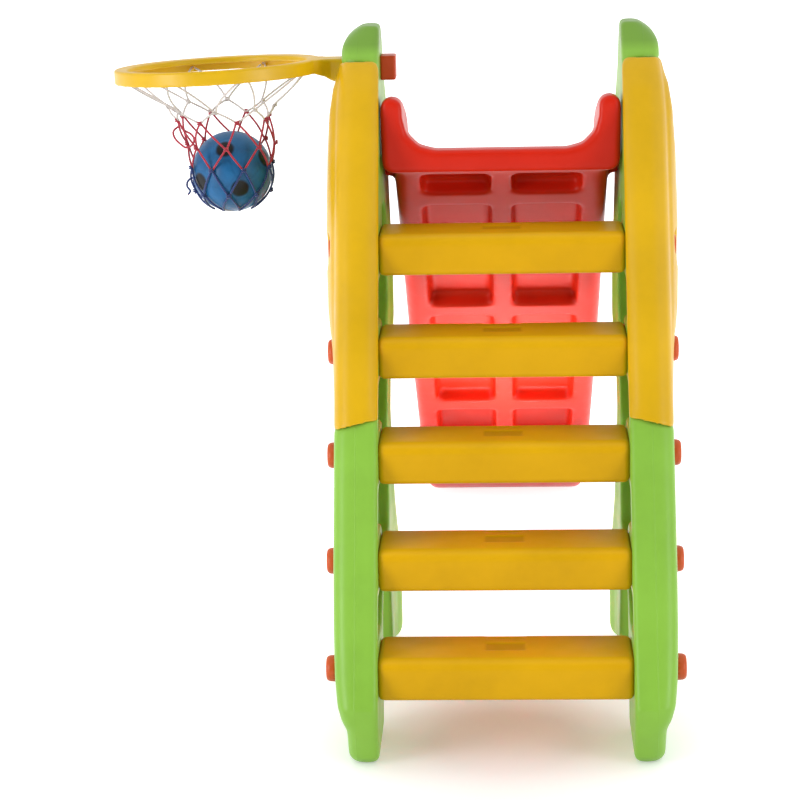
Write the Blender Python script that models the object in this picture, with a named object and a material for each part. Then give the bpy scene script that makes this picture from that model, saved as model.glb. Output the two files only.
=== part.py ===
"""Children's slide with a five-step ladder, a basketball hoop and its ball.

Metres, +Z up. The ladder faces -Y and the chute runs out along +Y. The origin lies on
the floor, under the flat foot of the chute, on the slide's mid-plane.
"""
import math

import bmesh
import bpy
from mathutils import Matrix, Vector

# Driving dimensions

CLEAR = 0.0003              # gap between two pieces that seat on each other
CUT_OVERRUN = 0.004         # how far a cutter runs past the face it cuts
WELD = 0.00001              # points nearer than this are one point

SPAN = 0.400                # between the inner faces of the two side panels

STEP_COUNT = 5
STEP_RISE = 0.155
STEP_RUN = 0.075
STEP_DEPTH = 0.122
STEP_HEIGHT = 0.0675
STEP_BOTTOM = 0.1035        # underside of the first step above the floor
STEP_FRONT_EDGE = 0.015     # rounding of a step's upper front edge
STEP_REAR_EDGE = 0.009
STEP_LOW_EDGE = 0.006
STEP_END_ROUND = 0.005      # rounding of a step's ends
TENON = 0.008               # how far a step's end sinks into the side panel
TENON_SHOULDER = 0.010      # how much smaller the tenon is than the step
GRIP_LENGTH = 0.064         # shallow mark at the rear of each tread
GRIP_WIDTH = 0.013
GRIP_SINK = 0.003

PANEL_THICK = 0.072
PANEL_BEHIND = 0.202        # rear of the side panel's foot behind the top step's rear
PANEL_FRONT_LEAD = 0.020    # panel's front edge ahead of the steps' fronts
PANEL_FRONT_ROUND = 0.026   # outer rounding of the panel's front edge
PANEL_REAR_ROUND = 0.020
PANEL_INNER_ROUND = 0.007
PANEL_CAP_ROUND = 0.036     # height over which the cap's outer side curls in
PANEL_CAP_INSET = 0.0335
PANEL_CAP_SHOULDER = 0.0087 # how far the cap stands in from the panel's side
PANEL_CAP_CURL = 0.125      # height over which the cap's front curls back
PANEL_CAP_SWEEP = 0.034
PANEL_CAP_SOFT = 0.005      # rounding of the cap's inner top edge
PANEL_LOW_ROUND = 0.140     # height below which the outer side curls in towards the feet
PANEL_LOW_INSET = 0.030
PANEL_LOW_SLIM = 0.0045     # how far the side stands in just above that height
FOOT_TOP = 0.058            # notch where the feet begin
FOOT_WIDTH = 0.0510
FOOT_TAPER = 0.001
FOOT_RECEDE = 0.030         # how far the front runs back between the first step and the floor
SOLE_ROUND = 0.014
RIM_BULGE = 0.009           # how far the rear rim stands in from the inner face
RIM_WIDTH = 0.050
RECESS_DEPTH = 0.022        # recessed web on the inner face
FRONT_RIM = 0.026
PAD_MARGIN = 0.010          # pad round each step's end
RECESS_BOTTOM = 0.252
RECESS_HEIGHT = 0.560
RECESS_CORNER = 0.010

ARCH_FRONT = 0.128          # arch between the feet, measured from the first step's front
ARCH_REAR = 0.497
ARCH_TOP = 0.215
ARCH_LEAN = 0.052           # how far each side of the arch leans in
ARCH_CORNER = 0.060
ARCH_FLARE = 0.012          # rounding of the arch's edges

SHELL_REACH = 0.543         # height of a shell
SHELL_DEPTH = 0.185         # from its front to its rear edge, at its deepest
CAP_HEIGHT = 0.052          # green cap left above it
SHELL_WALL = 0.005
SHELL_DOME = 0.0187         # how far the shell bulges past the panel's side
SHELL_TILT = 0.26           # slope of its lower seam across the panel
SHELL_CROWN = 0.019         # arch of its upper seam
SHELL_LIP = 0.007           # green rim left between the shell and the inner face
SHELL_EDGE = 0.009          # width over which its inner front edge is rounded off

KNOB_DIAMETER = 0.043
KNOB_HEAD = 0.0153
KNOB_SHANK = 0.014
KNOB_SLOT = 0.004
KNOB_GRIP = 0.026           # length of shank screwed into a step or the chute
KNOB_SIDES = 14
SEAT_DEPTH = 0.002          # how far the knobs' seats lie inside the panel's side
INNER_SEAT = 0.001          # depth of the flat seats on the panel's inner face
DIMPLE_DIAMETER = 0.052

LIP_SETBACK = 0.100         # front face of the chute's lip behind the top step's front
LIP_RISE = 0.085            # underside of the lip above the top step's tread
GUARD_HEIGHT = 0.236        # top of the side panels above the underside of the lip
LIP_DEPTH = 0.047           # level length of the underside behind the lip
LIP_PLAY = 0.0015           # between the lip and a side panel
LIP_DRAFT = 0.002
LIP_RIM = 0.037
LIP_NECK = 0.040            # length of the lip at its full width
LIP_SHOULDER = 0.022        # length over which it narrows to the chute
CHUTE_INSET = 0.0108        # how far the chute stands in from the lip on each side
CHUTE_DRAW = 0.0135         # how far its sides draw in towards the run-out
CHUTE_TAPER_AFTER = 0.750   # where they begin to, behind the lip's front
CHUTE_DRAFT = 0.010         # how far its sides lean in towards the underside
CHUTE_FLOOR = 0.038         # thickness of the double-walled floor
CHUTE_WALL_HEIGHT = 0.125   # underside to the top of the side walls
CHUTE_EXIT_HEIGHT = 0.092
CHUTE_RIM = 0.030
CHUTE_FILLET = 0.052
CHUTE_EDGE = 0.018
CHUTE_PITCH = 40.8          # degrees that it slopes
CHUTE_RUNOUT = 0.1863       # length of its flat foot
CHUTE_TOP_BEND = 0.050
CHUTE_LOW_BEND = 0.220
END_ROUND = 0.005

POCKET_PITCH = 0.200        # hollows moulded into the chute's underside
POCKET_RIB = 0.040
POCKET_MIDRIB = 0.034
POCKET_WIDTH = 0.120
POCKET_DEPTH = 0.026
POCKET_CORNER = 0.014
POCKET_DRAFT = 0.004
POCKET_FIRST_RIB = 0.100    # middle of the first cross rib, from the bend

BOSS_DIAMETER = 0.036
BOSS_BEHIND_LIP = 0.148
BOSS_DROP = 0.008           # below the lip's underside

HOOP_DIAMETER = 0.347
HOOP_FLANGE = 0.022
HOOP_HEIGHT = 0.024
HOOP_INNER_LIP = 0.011
HOOP_WALL = 0.0035
HOOP_SET_DOWN = 0.0535      # top of the ring, where it meets its arm, below the panels' tops
HOOP_BEHIND_LIP = 0.112
HOOP_DROOP = 2.2            # degrees that the ring sags away from the ladder
HOOP_TILT = 1.8             # degrees that its near side stands up
ARM_LENGTH = 0.032          # from the ring to the side panel
ARM_HEIGHT = 0.0385
ARM_WIDTH = 0.050
ARM_ROOT_WIDTH = 0.110
TONGUE = 0.024
TONGUE_DROP = 0.0175        # middle of the tongue below the top of the arm
LOCK_SIDE = 0.041
LOCK_THICK = 0.026
LOCK_COVER = 0.006          # solid end of the lock beyond the tongue
HOOP_SIDES = 44
HOOK_COUNT = 8
HOOK_DIAMETER = 0.004
HOOK_LENGTH = 0.012
HOOK_DROP = 0.019

CORD = 0.0028
CORD_GAP = 0.0001           # between the corners of two cords that are knotted together
NET_SWAY = 0.018            # how far the net hangs towards the ladder
NET_ROWS = (                # depth below the ring's foot, radius
    (0.048, 0.089),
    (0.068, 0.079),
    (0.112, 0.0735),
)
BALL_DIAMETER = 0.137
BALL_DROP = 0.160           # ball's middle below the ring's foot
BALL_ROWS = (81.0, 118.0, 151.0)     # polar angles of the knots that lie on the ball
BALL_CLEAR = 0.0011

# Positions that follow from the driving dimensions

LEAN = STEP_RUN / STEP_RISE
FACE = SPAN / 2
OUTER = FACE + PANEL_THICK
SEAT = OUTER - SEAT_DEPTH
STEP_MID = STEP_BOTTOM + STEP_HEIGHT / 2
TOP_TREAD = STEP_BOTTOM + (STEP_COUNT - 1) * STEP_RISE + STEP_HEIGHT

LIP_FRONT = (STEP_COUNT - 1) * STEP_RUN + LIP_SETBACK
LIP_UNDERSIDE = TOP_TREAD + LIP_RISE
LIP_WIDTH = SPAN - 2 * LIP_PLAY
CHUTE_WIDTH = LIP_WIDTH - 2 * CHUTE_INSET
CHUTE_FOOT_WIDTH = CHUTE_WIDTH - 2 * CHUTE_DRAW
CHUTE_SLOPE = math.radians(CHUTE_PITCH)
CHUTE_BEND_Y = LIP_FRONT + LIP_DEPTH
CHUTE_LANDING = CHUTE_BEND_Y + LIP_UNDERSIDE / math.tan(CHUTE_SLOPE)    # where the slope meets the floor
FOOT_START = CHUTE_LANDING + CHUTE_LOW_BEND * math.tan(CHUTE_SLOPE / 2)
CHUTE_EXIT = FOOT_START + CHUTE_RUNOUT
ORIGIN_Y = (FOOT_START + CHUTE_EXIT) / 2

PANEL_TOP = LIP_UNDERSIDE + GUARD_HEIGHT
PANEL_REACH = (STEP_COUNT - 1) * STEP_RUN + STEP_DEPTH + PANEL_BEHIND
SHELL_TOP = PANEL_TOP - CAP_HEIGHT
SHELL_BOTTOM = SHELL_TOP - SHELL_REACH
RECESS_TOP = RECESS_BOTTOM + RECESS_HEIGHT
BOSS_Y = LIP_FRONT + BOSS_BEHIND_LIP
BOSS_Z = LIP_UNDERSIDE - BOSS_DROP
HOOP_Y = LIP_FRONT + HOOP_BEHIND_LIP
HOOP_TOP = PANEL_TOP - HOOP_SET_DOWN

# Outlines drawn as shares, each a row of (share of the height, share of the greatest value)

PANEL_REAR_SHARES = ((0.0, 0.987), (0.081, 1.0), (0.162, 0.971), (0.272, 0.836), (0.387, 0.811),
                     (0.5755, 0.987), (0.809, 0.981), (0.937, 0.955))
RIM_BULGE_SHARES = ((0.09, 1.22), (0.153, 1.15), (0.202, 0.78), (0.261, 0.76), (0.378, 0.40), (0.45, 0.40),
                    (0.54, 0.92), (0.63, 0.85), (0.72, 0.45), (0.854, 0.45), (0.944, 0.0))
SHELL_REAR_SHARES = ((0.0, 0.595), (0.153, 0.973), (0.4475, 1.0), (0.6685, 0.811), (0.8527, 0.405),
                     (1.0, 0.259))
SHELL_DOME_SHARES = ((0.0, 0.0), (0.08, 0.07), (0.272, 0.82), (0.41, 1.0), (0.65, 0.99), (0.797, 0.78),
                     (0.89, 0.62), (1.0, 0.20))

GREEN = ("green_plastic", (0.33, 0.58, 0.08), 0.34)
YELLOW = ("yellow_plastic", (0.78, 0.46, 0.01), 0.32)
RED = ("red_plastic", (0.62, 0.03, 0.01), 0.30)
ORANGE = ("orange_plastic", (0.80, 0.16, 0.02), 0.36)
RUST = ("rust_plastic", (0.52, 0.06, 0.01), 0.40)
WHITE_CORD = ("white_cord", (0.80, 0.78, 0.74), 0.80)
RED_CORD = ("red_cord", (0.50, 0.02, 0.03), 0.75)
BLUE_CORD = ("blue_cord", (0.01, 0.07, 0.26), 0.75)
BALL_SKIN = ("blue_vinyl", (0.06, 0.24, 0.48), 0.42)


# Scene and material helpers

def clear_scene():
    for item in list(bpy.data.objects):
        bpy.data.objects.remove(item, do_unlink=True)


def make_collection(name):
    group = bpy.data.collections.new(name)
    bpy.context.scene.collection.children.link(group)
    return group


def make_material(finish):
    name, colour, roughness = finish
    material = bpy.data.materials.get(name)
    if material:
        return material
    material = bpy.data.materials.new(name)
    material.use_nodes = True
    shader = material.node_tree.nodes["Principled BSDF"]
    shader.inputs["Base Color"].default_value = (*colour, 1)
    shader.inputs["Roughness"].default_value = roughness
    shader.inputs["Metallic"].default_value = 0.0
    return material


def add_object(name, mesh, group, finish=None):
    item = bpy.data.objects.new(name, mesh)
    group.objects.link(item)
    if finish:
        mesh.materials.append(make_material(finish))
    return item


def smooth_round_edges(mesh, limit=38):
    mesh.shade_smooth()
    mesh.set_sharp_from_angle(angle=math.radians(limit))


def weld(shape):
    """Merge points that coincide, drop faces without area and face the rest outwards."""
    bmesh.ops.remove_doubles(shape, verts=shape.verts, dist=WELD)
    bmesh.ops.dissolve_degenerate(shape, dist=WELD, edges=shape.edges)
    bmesh.ops.recalc_face_normals(shape, faces=shape.faces)


def baked(item):
    """Replace an object's modifiers by the mesh that they give."""
    graph = bpy.context.evaluated_depsgraph_get()
    mesh = bpy.data.meshes.new_from_object(item.evaluated_get(graph))
    item.modifiers.clear()
    shape = bmesh.new()
    shape.from_mesh(mesh)
    bmesh.ops.remove_doubles(shape, verts=shape.verts, dist=WELD)
    bmesh.ops.dissolve_degenerate(shape, dist=WELD, edges=shape.edges)
    shape.to_mesh(mesh)
    shape.free()
    item.data = mesh
    return item


def combine(item, tool, operation):
    """Join a tool to an object, or cut it away, and drop the tool."""
    step = item.modifiers.new(operation.lower(), "BOOLEAN")
    step.operation = operation
    step.object = tool
    bpy.context.view_layer.update()
    baked(item)
    bpy.data.objects.remove(tool, do_unlink=True)
    return item


def cut(item, *tools):
    for tool in tools:
        combine(item, tool, "DIFFERENCE")
    return item


def join(item, *tools):
    for tool in tools:
        combine(item, tool, "UNION")
    return item


# Outlines in the side view, as points (y, z)

def offset(corners, distance):
    """Move every side of a closed outline outwards by the same distance."""
    area = sum(a[0] * b[1] - b[0] * a[1] for a, b in zip(corners, corners[1:] + corners[:1]))
    turn = 1.0 if area > 0 else -1.0
    moved = []
    for index, corner in enumerate(corners):
        before = Vector(corners[index - 1][:2])
        here = Vector(corner[:2])
        after = Vector(corners[(index + 1) % len(corners)][:2])
        first = (here - before).normalized()
        second = (after - here).normalized()
        normal_a = Vector((first.y, -first.x)) * turn
        normal_b = Vector((second.y, -second.x)) * turn
        bisector = (normal_a + normal_b).normalized()
        reach = distance / max(bisector.dot(normal_a), 0.3)
        radius = corner[2]
        bulges = (first.x * second.y - first.y * second.x) * turn > 0
        grown = radius + distance if bulges else radius - distance
        point = here + bisector * reach
        moved.append((point.x, point.y, max(grown, 0.0005)))
    return moved


def rounded(corners, segments=4):
    """Turn corners (y, z, radius) into a closed outline with an arc at each corner."""
    points = []
    for index, (y, z, radius) in enumerate(corners):
        before = Vector(corners[index - 1][:2])
        here = Vector((y, z))
        after = Vector(corners[(index + 1) % len(corners)][:2])
        back = (before - here).normalized()
        ahead = (after - here).normalized()
        half = math.acos(max(-1.0, min(1.0, back.dot(ahead)))) / 2
        tangent = radius / math.tan(half)
        centre = here + (back + ahead).normalized() * (radius / math.sin(half))
        start = here + back * tangent - centre
        finish = here + ahead * tangent - centre
        sweep = math.atan2(start.x * finish.y - start.y * finish.x, start.dot(finish))
        for count in range(segments + 1):
            angle = sweep * count / segments
            turned = Vector((start.x * math.cos(angle) - start.y * math.sin(angle),
                             start.x * math.sin(angle) + start.y * math.cos(angle)))
            points.append(centre + turned)
    return points


# Solids

def skin(name, rings, group, finish=None, closed=False, folded=False):
    """Loft through rings of equal length, capped at both ends or joined end to end.

    The sides are split into triangles, so that a twisted stretch fits its neighbour's exactly.
    A folded ring runs out and back again, so its caps are strips between the two runs.
    """
    mesh = bpy.data.meshes.new(name)
    shape = bmesh.new()
    rows = [[shape.verts.new(point) for point in ring] for ring in rings]
    count = len(rings[0])
    pairs = list(zip(rows, rows[1:]))
    if closed:
        pairs.append((rows[-1], rows[0]))
    for near, far in pairs:
        for index in range(count):
            following = (index + 1) % count
            shape.faces.new((near[index], near[following], far[following], far[index]))
    if folded:
        for row in (rows[0], rows[-1]):
            for index in range(count // 2 - 1):
                shape.faces.new((row[index], row[index + 1], row[-2 - index], row[-1 - index]))
    bmesh.ops.triangulate(shape, faces=shape.faces, quad_method="FIXED")
    if not (closed or folded):
        shape.faces.new(rows[0][::-1])
        shape.faces.new(rows[-1])
    weld(shape)
    shape.to_mesh(mesh)
    shape.free()
    smooth_round_edges(mesh)
    return add_object(name, mesh, group, finish)


def prism(name, outlines, group, finish=None):
    """Loft side-view outlines, each given as (x, points), along X."""
    rings = [[Vector((x, point[0], point[1])) for point in points] for x, points in outlines]
    return skin(name, rings, group, finish)


def box(name, low, high, group, edge=0.0):
    """A box between two corners, with its edges rounded by edge."""
    mesh = bpy.data.meshes.new(name)
    shape = bmesh.new()
    corners = [sorted(pair) for pair in zip(low, high)]
    low = Vector([pair[0] for pair in corners])
    high = Vector([pair[1] for pair in corners])
    bmesh.ops.create_cube(shape, size=1)
    bmesh.ops.scale(shape, vec=high - low, verts=shape.verts)
    bmesh.ops.translate(shape, vec=(low + high) / 2, verts=shape.verts)
    if edge:
        bmesh.ops.bevel(shape, geom=shape.edges, offset=edge, segments=2, affect="EDGES", profile=0.5)
    shape.to_mesh(mesh)
    shape.free()
    smooth_round_edges(mesh)
    return add_object(name, mesh, group)


def tube(name, points, diameter, group, finish=None, cyclic=False, sides=1):
    """A round cord or peg along points, as a mesh."""
    curve = bpy.data.curves.new(name, "CURVE")
    curve.dimensions = "3D"
    curve.bevel_depth = diameter / 2
    curve.bevel_resolution = sides
    curve.use_fill_caps = not cyclic
    spline = curve.splines.new("POLY")
    spline.points.add(len(points) - 1)
    for place, point in zip(spline.points, points):
        place.co = (*point, 1)
    spline.use_cyclic_u = cyclic
    guide = bpy.data.objects.new(name + "_guide", curve)
    group.objects.link(guide)
    graph = bpy.context.evaluated_depsgraph_get()
    mesh = bpy.data.meshes.new_from_object(guide.evaluated_get(graph))
    bpy.data.objects.remove(guide, do_unlink=True)
    shape = bmesh.new()
    shape.from_mesh(mesh)
    weld(shape)
    shape.to_mesh(mesh)
    shape.free()
    smooth_round_edges(mesh)
    mesh.materials.clear()
    return add_object(name, mesh, group, finish)


# Side panels

def blend(stops, value):
    """Read a smooth curve through stops (position, height) at a position."""
    if value <= stops[0][0]:
        return stops[0][1]
    for (left, low), (right, high) in zip(stops, stops[1:]):
        if value <= right:
            share = (value - left) / (right - left)
            return low + (high - low) * share * share * (3 - 2 * share)
    return stops[-1][1]


def straight(stops, value):
    """Read straight lines through stops at a position."""
    if value <= stops[0][0]:
        return stops[0][1]
    for (left, low), (right, high) in zip(stops, stops[1:]):
        if value <= right:
            return low + (high - low) * (value - left) / (right - left)
    return stops[-1][1]


def step_front(z):
    """Front of the ladder's lean at a height."""
    return LEAN * (z - STEP_MID)


def panel_front(z):
    """Front edge of a side panel: run back at the foot, leaning, and curled back at the cap."""
    line = step_front(max(z, STEP_BOTTOM)) - PANEL_FRONT_LEAD
    foot_curl = max(0.0, STEP_BOTTOM - z) / STEP_BOTTOM
    curl = max(0.0, 1 - (PANEL_TOP - z) / PANEL_CAP_CURL)
    return line + FOOT_RECEDE * foot_curl ** 2 + PANEL_CAP_SWEEP * curl ** 2.6


def panel_rear(z):
    """Rear edge of a side panel: full at the top, drawn in at the middle, flared at the foot."""
    curl = max(0.0, 1 - (PANEL_TOP - z) / (0.64 * PANEL_CAP_CURL))
    return PANEL_REACH * blend(PANEL_REAR_SHARES, z / PANEL_TOP) - 1.35 * PANEL_CAP_SWEEP * curl ** 2.4


def share_of(part, whole):
    """Share of a whole, kept between none and all of it."""
    return min(1.0, max(0.0, part / whole))


def round_inset(depth):
    """Share of its inset that an elliptical rounding has reached at a share of its length."""
    return 1.0 - math.sqrt(1.0 - min(1.0, max(0.0, depth)) ** 2)


def panel_side(z):
    """Distance of a side panel's outer face from the mid-plane."""
    if z < FOOT_TOP:
        return FACE + FOOT_WIDTH - FOOT_TAPER * (1 - z / FOOT_TOP)
    low = round_inset((PANEL_LOW_ROUND - z) / (0.64 * PANEL_LOW_ROUND))
    slim = share_of(1.7 * PANEL_LOW_ROUND - z, 0.93 * PANEL_LOW_ROUND)
    high = share_of(z - PANEL_TOP + PANEL_CAP_ROUND, PANEL_CAP_ROUND)
    shoulder = share_of(z - SHELL_TOP + PANEL_CAP_CURL, PANEL_CAP_CURL)
    return (OUTER - PANEL_LOW_INSET * low - PANEL_LOW_SLIM * slim
            - PANEL_CAP_SHOULDER * shoulder ** 2 - PANEL_CAP_INSET * high ** 2)


def sole_tuck(z):
    """How far the feet draw in on every side near the floor."""
    return 0.65 * SOLE_ROUND * max(0.0, 1 - z / SOLE_ROUND) ** 2


def rim_bulge(z):
    """How far the rear rim stands in from the inner face at a height."""
    return RIM_BULGE * blend(RIM_BULGE_SHARES, z / PANEL_TOP)


def quarter(reach, y, radius, first, last, segments):
    """A quarter turn about a centre, between two angles in degrees."""
    arc = []
    for count in range(segments + 1):
        angle = math.radians(first + (last - first) * count / segments)
        arc.append((reach + radius * math.cos(angle), y + radius * math.sin(angle)))
    return arc


def seam_drop(z, reach):
    """How far a slice sags at a distance from the mid-plane, to give both seams their shape."""
    across = (reach - FACE) / PANEL_THICK
    low = max(0.0, 1.0 - abs(z - SHELL_BOTTOM) / 0.080)
    high = max(0.0, 1.0 - abs(z - SHELL_TOP) / 0.050)
    crown = SHELL_CROWN * (2.0 * min(1.0, across) - 1.0) ** 4
    return low * SHELL_TILT * PANEL_THICK * across ** 2 + high * crown


def settle(ring, z, side):
    """Put a slice's points (reach, y) in space, sliding them down the lean where the slice sags."""
    front = panel_front(z)
    depth = panel_rear(z) - front
    points = []
    for reach, y in ring:
        drop = seam_drop(z, reach)
        share = min(1.0, max(0.0, 1.0 - (y - front) / depth))
        points.append((side * reach, y - LEAN * drop * share, z - drop))
    return points


def shell_rear(z):
    """Rear edge of a shell, swept forward at its top and bottom."""
    return panel_front(z) + SHELL_DEPTH * straight(SHELL_REAR_SHARES, (z - SHELL_BOTTOM) / SHELL_REACH)


def panel_slice(z, side, rebate):
    """One level of a side panel, cut back by rebate where the shell covers it."""
    tuck = sole_tuck(z)
    front = panel_front(z) + rebate + tuck
    rear = panel_rear(z) - tuck
    outer = panel_side(z) - tuck
    face = FACE + tuck + PANEL_CAP_SOFT * round_inset(1 - (PANEL_TOP - z) / 0.008)
    bulge = rim_bulge(z)
    thick = outer - face
    fore = min(PANEL_FRONT_ROUND, thick * 0.5) - rebate
    aft = min(PANEL_REAR_ROUND, thick * 0.5)
    soft = min(PANEL_INNER_ROUND + 0.0025 * min(1.0, max(0.0, (z - SHELL_TOP) / 0.020)), thick * 0.25)
    inner = outer - rebate
    depth = rear - front
    edge = min(shell_rear(z) + CLEAR, front + depth * 0.6)
    rim = min(RIM_WIDTH, depth * 0.35)
    ring = quarter(face + soft, front + soft, soft, 270, 180, 2)
    ring.append((face, rear - rim * 1.6))
    ring.append((face - bulge * 0.35, rear - rim))
    ring.append((face - bulge, rear - rim * 0.6))
    ring += quarter(face - bulge + soft * 1.5, rear - soft * 1.5, soft * 1.5, 180, 90, 2)
    ring += quarter(outer - aft, rear - aft, aft, 90, 0, 3)
    ring += [(outer, edge), (inner, edge)]
    ring += quarter(inner - fore, front + fore, fore, 0, -90, 4)
    start = face + soft
    run = inner - fore - start
    lip = FACE + SHELL_LIP
    for share, least in ((1.0, 0.15), (0.3, 0.05)):
        ring.append((max(lip + SHELL_EDGE * share, start + run * least), front))
    return settle(ring, z, side)


def shell_levels():
    shares = (0.0, 0.06, 0.15, 0.27, 0.42, 0.58, 0.72, 0.84, 0.92, 0.97, 1.0)
    return [SHELL_BOTTOM + (SHELL_TOP - SHELL_BOTTOM) * share for share in shares]


def panel_levels():
    """Heights of the panel's slices, with a double one at each seam of the shell."""
    foot = (0.0, SOLE_ROUND * 0.25, SOLE_ROUND * 0.6, SOLE_ROUND, FOOT_TOP - 0.003, FOOT_TOP + 0.003)
    levels = [(z, 0) for z in foot + (0.078, 0.102, PANEL_LOW_ROUND, 0.215, 0.290, 0.370, 0.450)]
    covered = shell_levels()
    covered[0] -= CLEAR
    covered[-1] += CLEAR
    levels.append((covered[0], 0))
    levels += [(z, 1) for z in covered]
    levels.append((covered[-1], 0))
    levels += [(PANEL_TOP - drop, 0) for drop in (0.036, 0.028, 0.019, 0.011, 0.005, 0.0015, 0.0)]
    return levels


def panel_body(name, side, parts):
    rebate = SHELL_WALL + CLEAR
    rings = [panel_slice(z, side, rebate * covered) for z, covered in panel_levels()]
    return skin(name, rings, parts, GREEN)


def arch_outline():
    below = -ARCH_CORNER
    lean = ARCH_LEAN * (ARCH_TOP - below) / ARCH_TOP
    return [(ARCH_FRONT, below, ARCH_FLARE * 2), (ARCH_REAR, below, ARCH_FLARE * 2),
            (ARCH_REAR - lean, ARCH_TOP, ARCH_CORNER), (ARCH_FRONT + lean, ARCH_TOP, ARCH_CORNER)]


def arch_cutter(side, tools):
    """Opening between the feet, flared at both faces so that its edges come out round."""
    turns = [(math.cos(math.radians(a)), math.sin(math.radians(a))) for a in (0, 45, 90)]
    outline = arch_outline()
    rings = []
    for bend, rise in turns[::-1]:
        flare = ARCH_FLARE * (1 - bend)
        rings.append((side * (FACE - RIM_BULGE * 1.2 + ARCH_FLARE * (1 - rise)), flare))
    for bend, rise in turns:
        flare = ARCH_FLARE * (1 - bend)
        rings.append((side * (OUTER - ARCH_FLARE * (1 - rise)), flare))
    rings.insert(0, (side * (FACE - 0.030), ARCH_FLARE))
    rings.append((side * (OUTER + 0.010), ARCH_FLARE))
    return prism("arch_tool", [(x, rounded(offset(outline, grow), 4)) for x, grow in rings], tools)


def recess_outline():
    """Comb-shaped web recess: a bay behind the steps with a finger between each two."""
    corners = []
    rear = FRONT_RIM - PANEL_FRONT_LEAD
    for count in range(STEP_COUNT - 1):
        low = STEP_BOTTOM + STEP_HEIGHT + count * STEP_RISE + PAD_MARGIN
        high = STEP_BOTTOM + (count + 1) * STEP_RISE - PAD_MARGIN
        back = (count + 1) * STEP_RUN + STEP_DEPTH + PAD_MARGIN
        corners.append((step_front(low) + rear, low, RECESS_CORNER))
        corners.append((step_front(high) + rear, high, RECESS_CORNER))
        corners.append((back, high, RECESS_CORNER))
        if count < STEP_COUNT - 2:
            corners.append((back, high + STEP_HEIGHT + 2 * PAD_MARGIN, RECESS_CORNER))
    corners.append((back, RECESS_TOP, RECESS_CORNER))
    margin = 1.44 * RIM_WIDTH
    for share in (1.0, 0.693, 0.496, 0.345, 0.193):
        z = RECESS_BOTTOM + RECESS_HEIGHT * share
        corners.append((panel_rear(z) - margin, z, RECESS_CORNER * 2))
    z = RECESS_BOTTOM + RECESS_HEIGHT * 0.086
    corners.append((panel_rear(z) - margin - RECESS_CORNER, RECESS_BOTTOM, RECESS_CORNER * 2))
    first_back = STEP_DEPTH + PAD_MARGIN
    corners.append((first_back + 0.9 * STEP_DEPTH, RECESS_BOTTOM, RECESS_CORNER * 1.5))
    corners.append((first_back + RECESS_CORNER, corners[0][1], RECESS_CORNER))
    return corners


def recess_cutter(side, tools):
    outline = recess_outline()
    rings = ((FACE - 0.020, 0.006), (FACE + 0.004, 0.0), (FACE + RECESS_DEPTH, -0.002))
    return prism("recess_tool", [(side * x, rounded(offset(outline, grow), 2)) for x, grow in rings], tools)


def step_place(count):
    """Front bottom corner of a step."""
    return count * STEP_RUN, STEP_BOTTOM + count * STEP_RISE


def step_outline(count):
    y, z = step_place(count)
    return [(y, z, STEP_LOW_EDGE), (y + STEP_DEPTH, z, STEP_LOW_EDGE),
            (y + STEP_DEPTH, z + STEP_HEIGHT, STEP_REAR_EDGE), (y, z + STEP_HEIGHT, STEP_FRONT_EDGE)]


def step_bolt(count):
    """Middle of a step's end, where its knob goes in."""
    y, z = step_place(count)
    return y + STEP_DEPTH / 2, z + STEP_HEIGHT / 2


def socket_cutter(side, count, tools):
    outline = offset(step_outline(count), CLEAR - TENON_SHOULDER)
    depth = TENON + CLEAR
    ends = ((FACE - CUT_OVERRUN, outline), (FACE + depth, outline))
    return prism("socket_tool", [(side * x, rounded(points, 2)) for x, points in ends], tools)


def bolt_hole(side, place, steps, tools):
    """Stepped hole on a bolt's axis, through (reach, diameter) pairs from the inside outwards."""
    y, z = place
    rings = []
    for reach, diameter in steps:
        ring = []
        for index in range(KNOB_SIDES):
            angle = 2 * math.pi * (index + 0.5) / KNOB_SIDES
            ring.append((side * reach, y + diameter / 2 * math.cos(angle), z + diameter / 2 * math.sin(angle)))
        rings.append(ring)
    return skin("hole_tool", rings, tools)


def panel_cutters(side, tools):
    """Step sockets, bolt holes and knob seats of one side panel."""
    shank = KNOB_SHANK + 2 * CLEAR
    head = KNOB_DIAMETER + 4 * SEAT_DEPTH
    boss = BOSS_DIAMETER + 4 * SEAT_DEPTH
    beyond = OUTER + CUT_OVERRUN
    cutters = []
    for count in range(STEP_COUNT):
        place = step_bolt(count)
        cutters.append(socket_cutter(side, count, tools))
        steps = [(FACE - CUT_OVERRUN, shank), (SEAT, shank), (SEAT, head), (beyond, head)]
        cutters.append(bolt_hole(side, place, steps, tools))
    steps = [(FACE - RIM_BULGE * 1.5, boss), (FACE + INNER_SEAT, boss), (FACE + INNER_SEAT, shank),
             (SEAT, shank), (SEAT, head), (beyond, head)]
    cutters.append(bolt_hole(side, (BOSS_Y, BOSS_Z), steps, tools))
    return cutters


def make_side_panel(name, side, parts, tools, with_slot):
    panel = panel_body(name, side, parts)
    cut(panel, arch_cutter(side, tools))
    cut(panel, recess_cutter(side, tools), *panel_cutters(side, tools))
    if with_slot:
        cut(panel, *hoop_cutters(tools))
    smooth_round_edges(panel.data)
    return panel


# Side shells

def dome(z, share):
    """Bulge of a shell's side at a height, and at a share of its depth from front to rear."""
    upright = straight(SHELL_DOME_SHARES, (z - SHELL_BOTTOM) / SHELL_REACH)
    return SHELL_DOME * upright * math.sin(math.pi * share) ** 0.7


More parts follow.
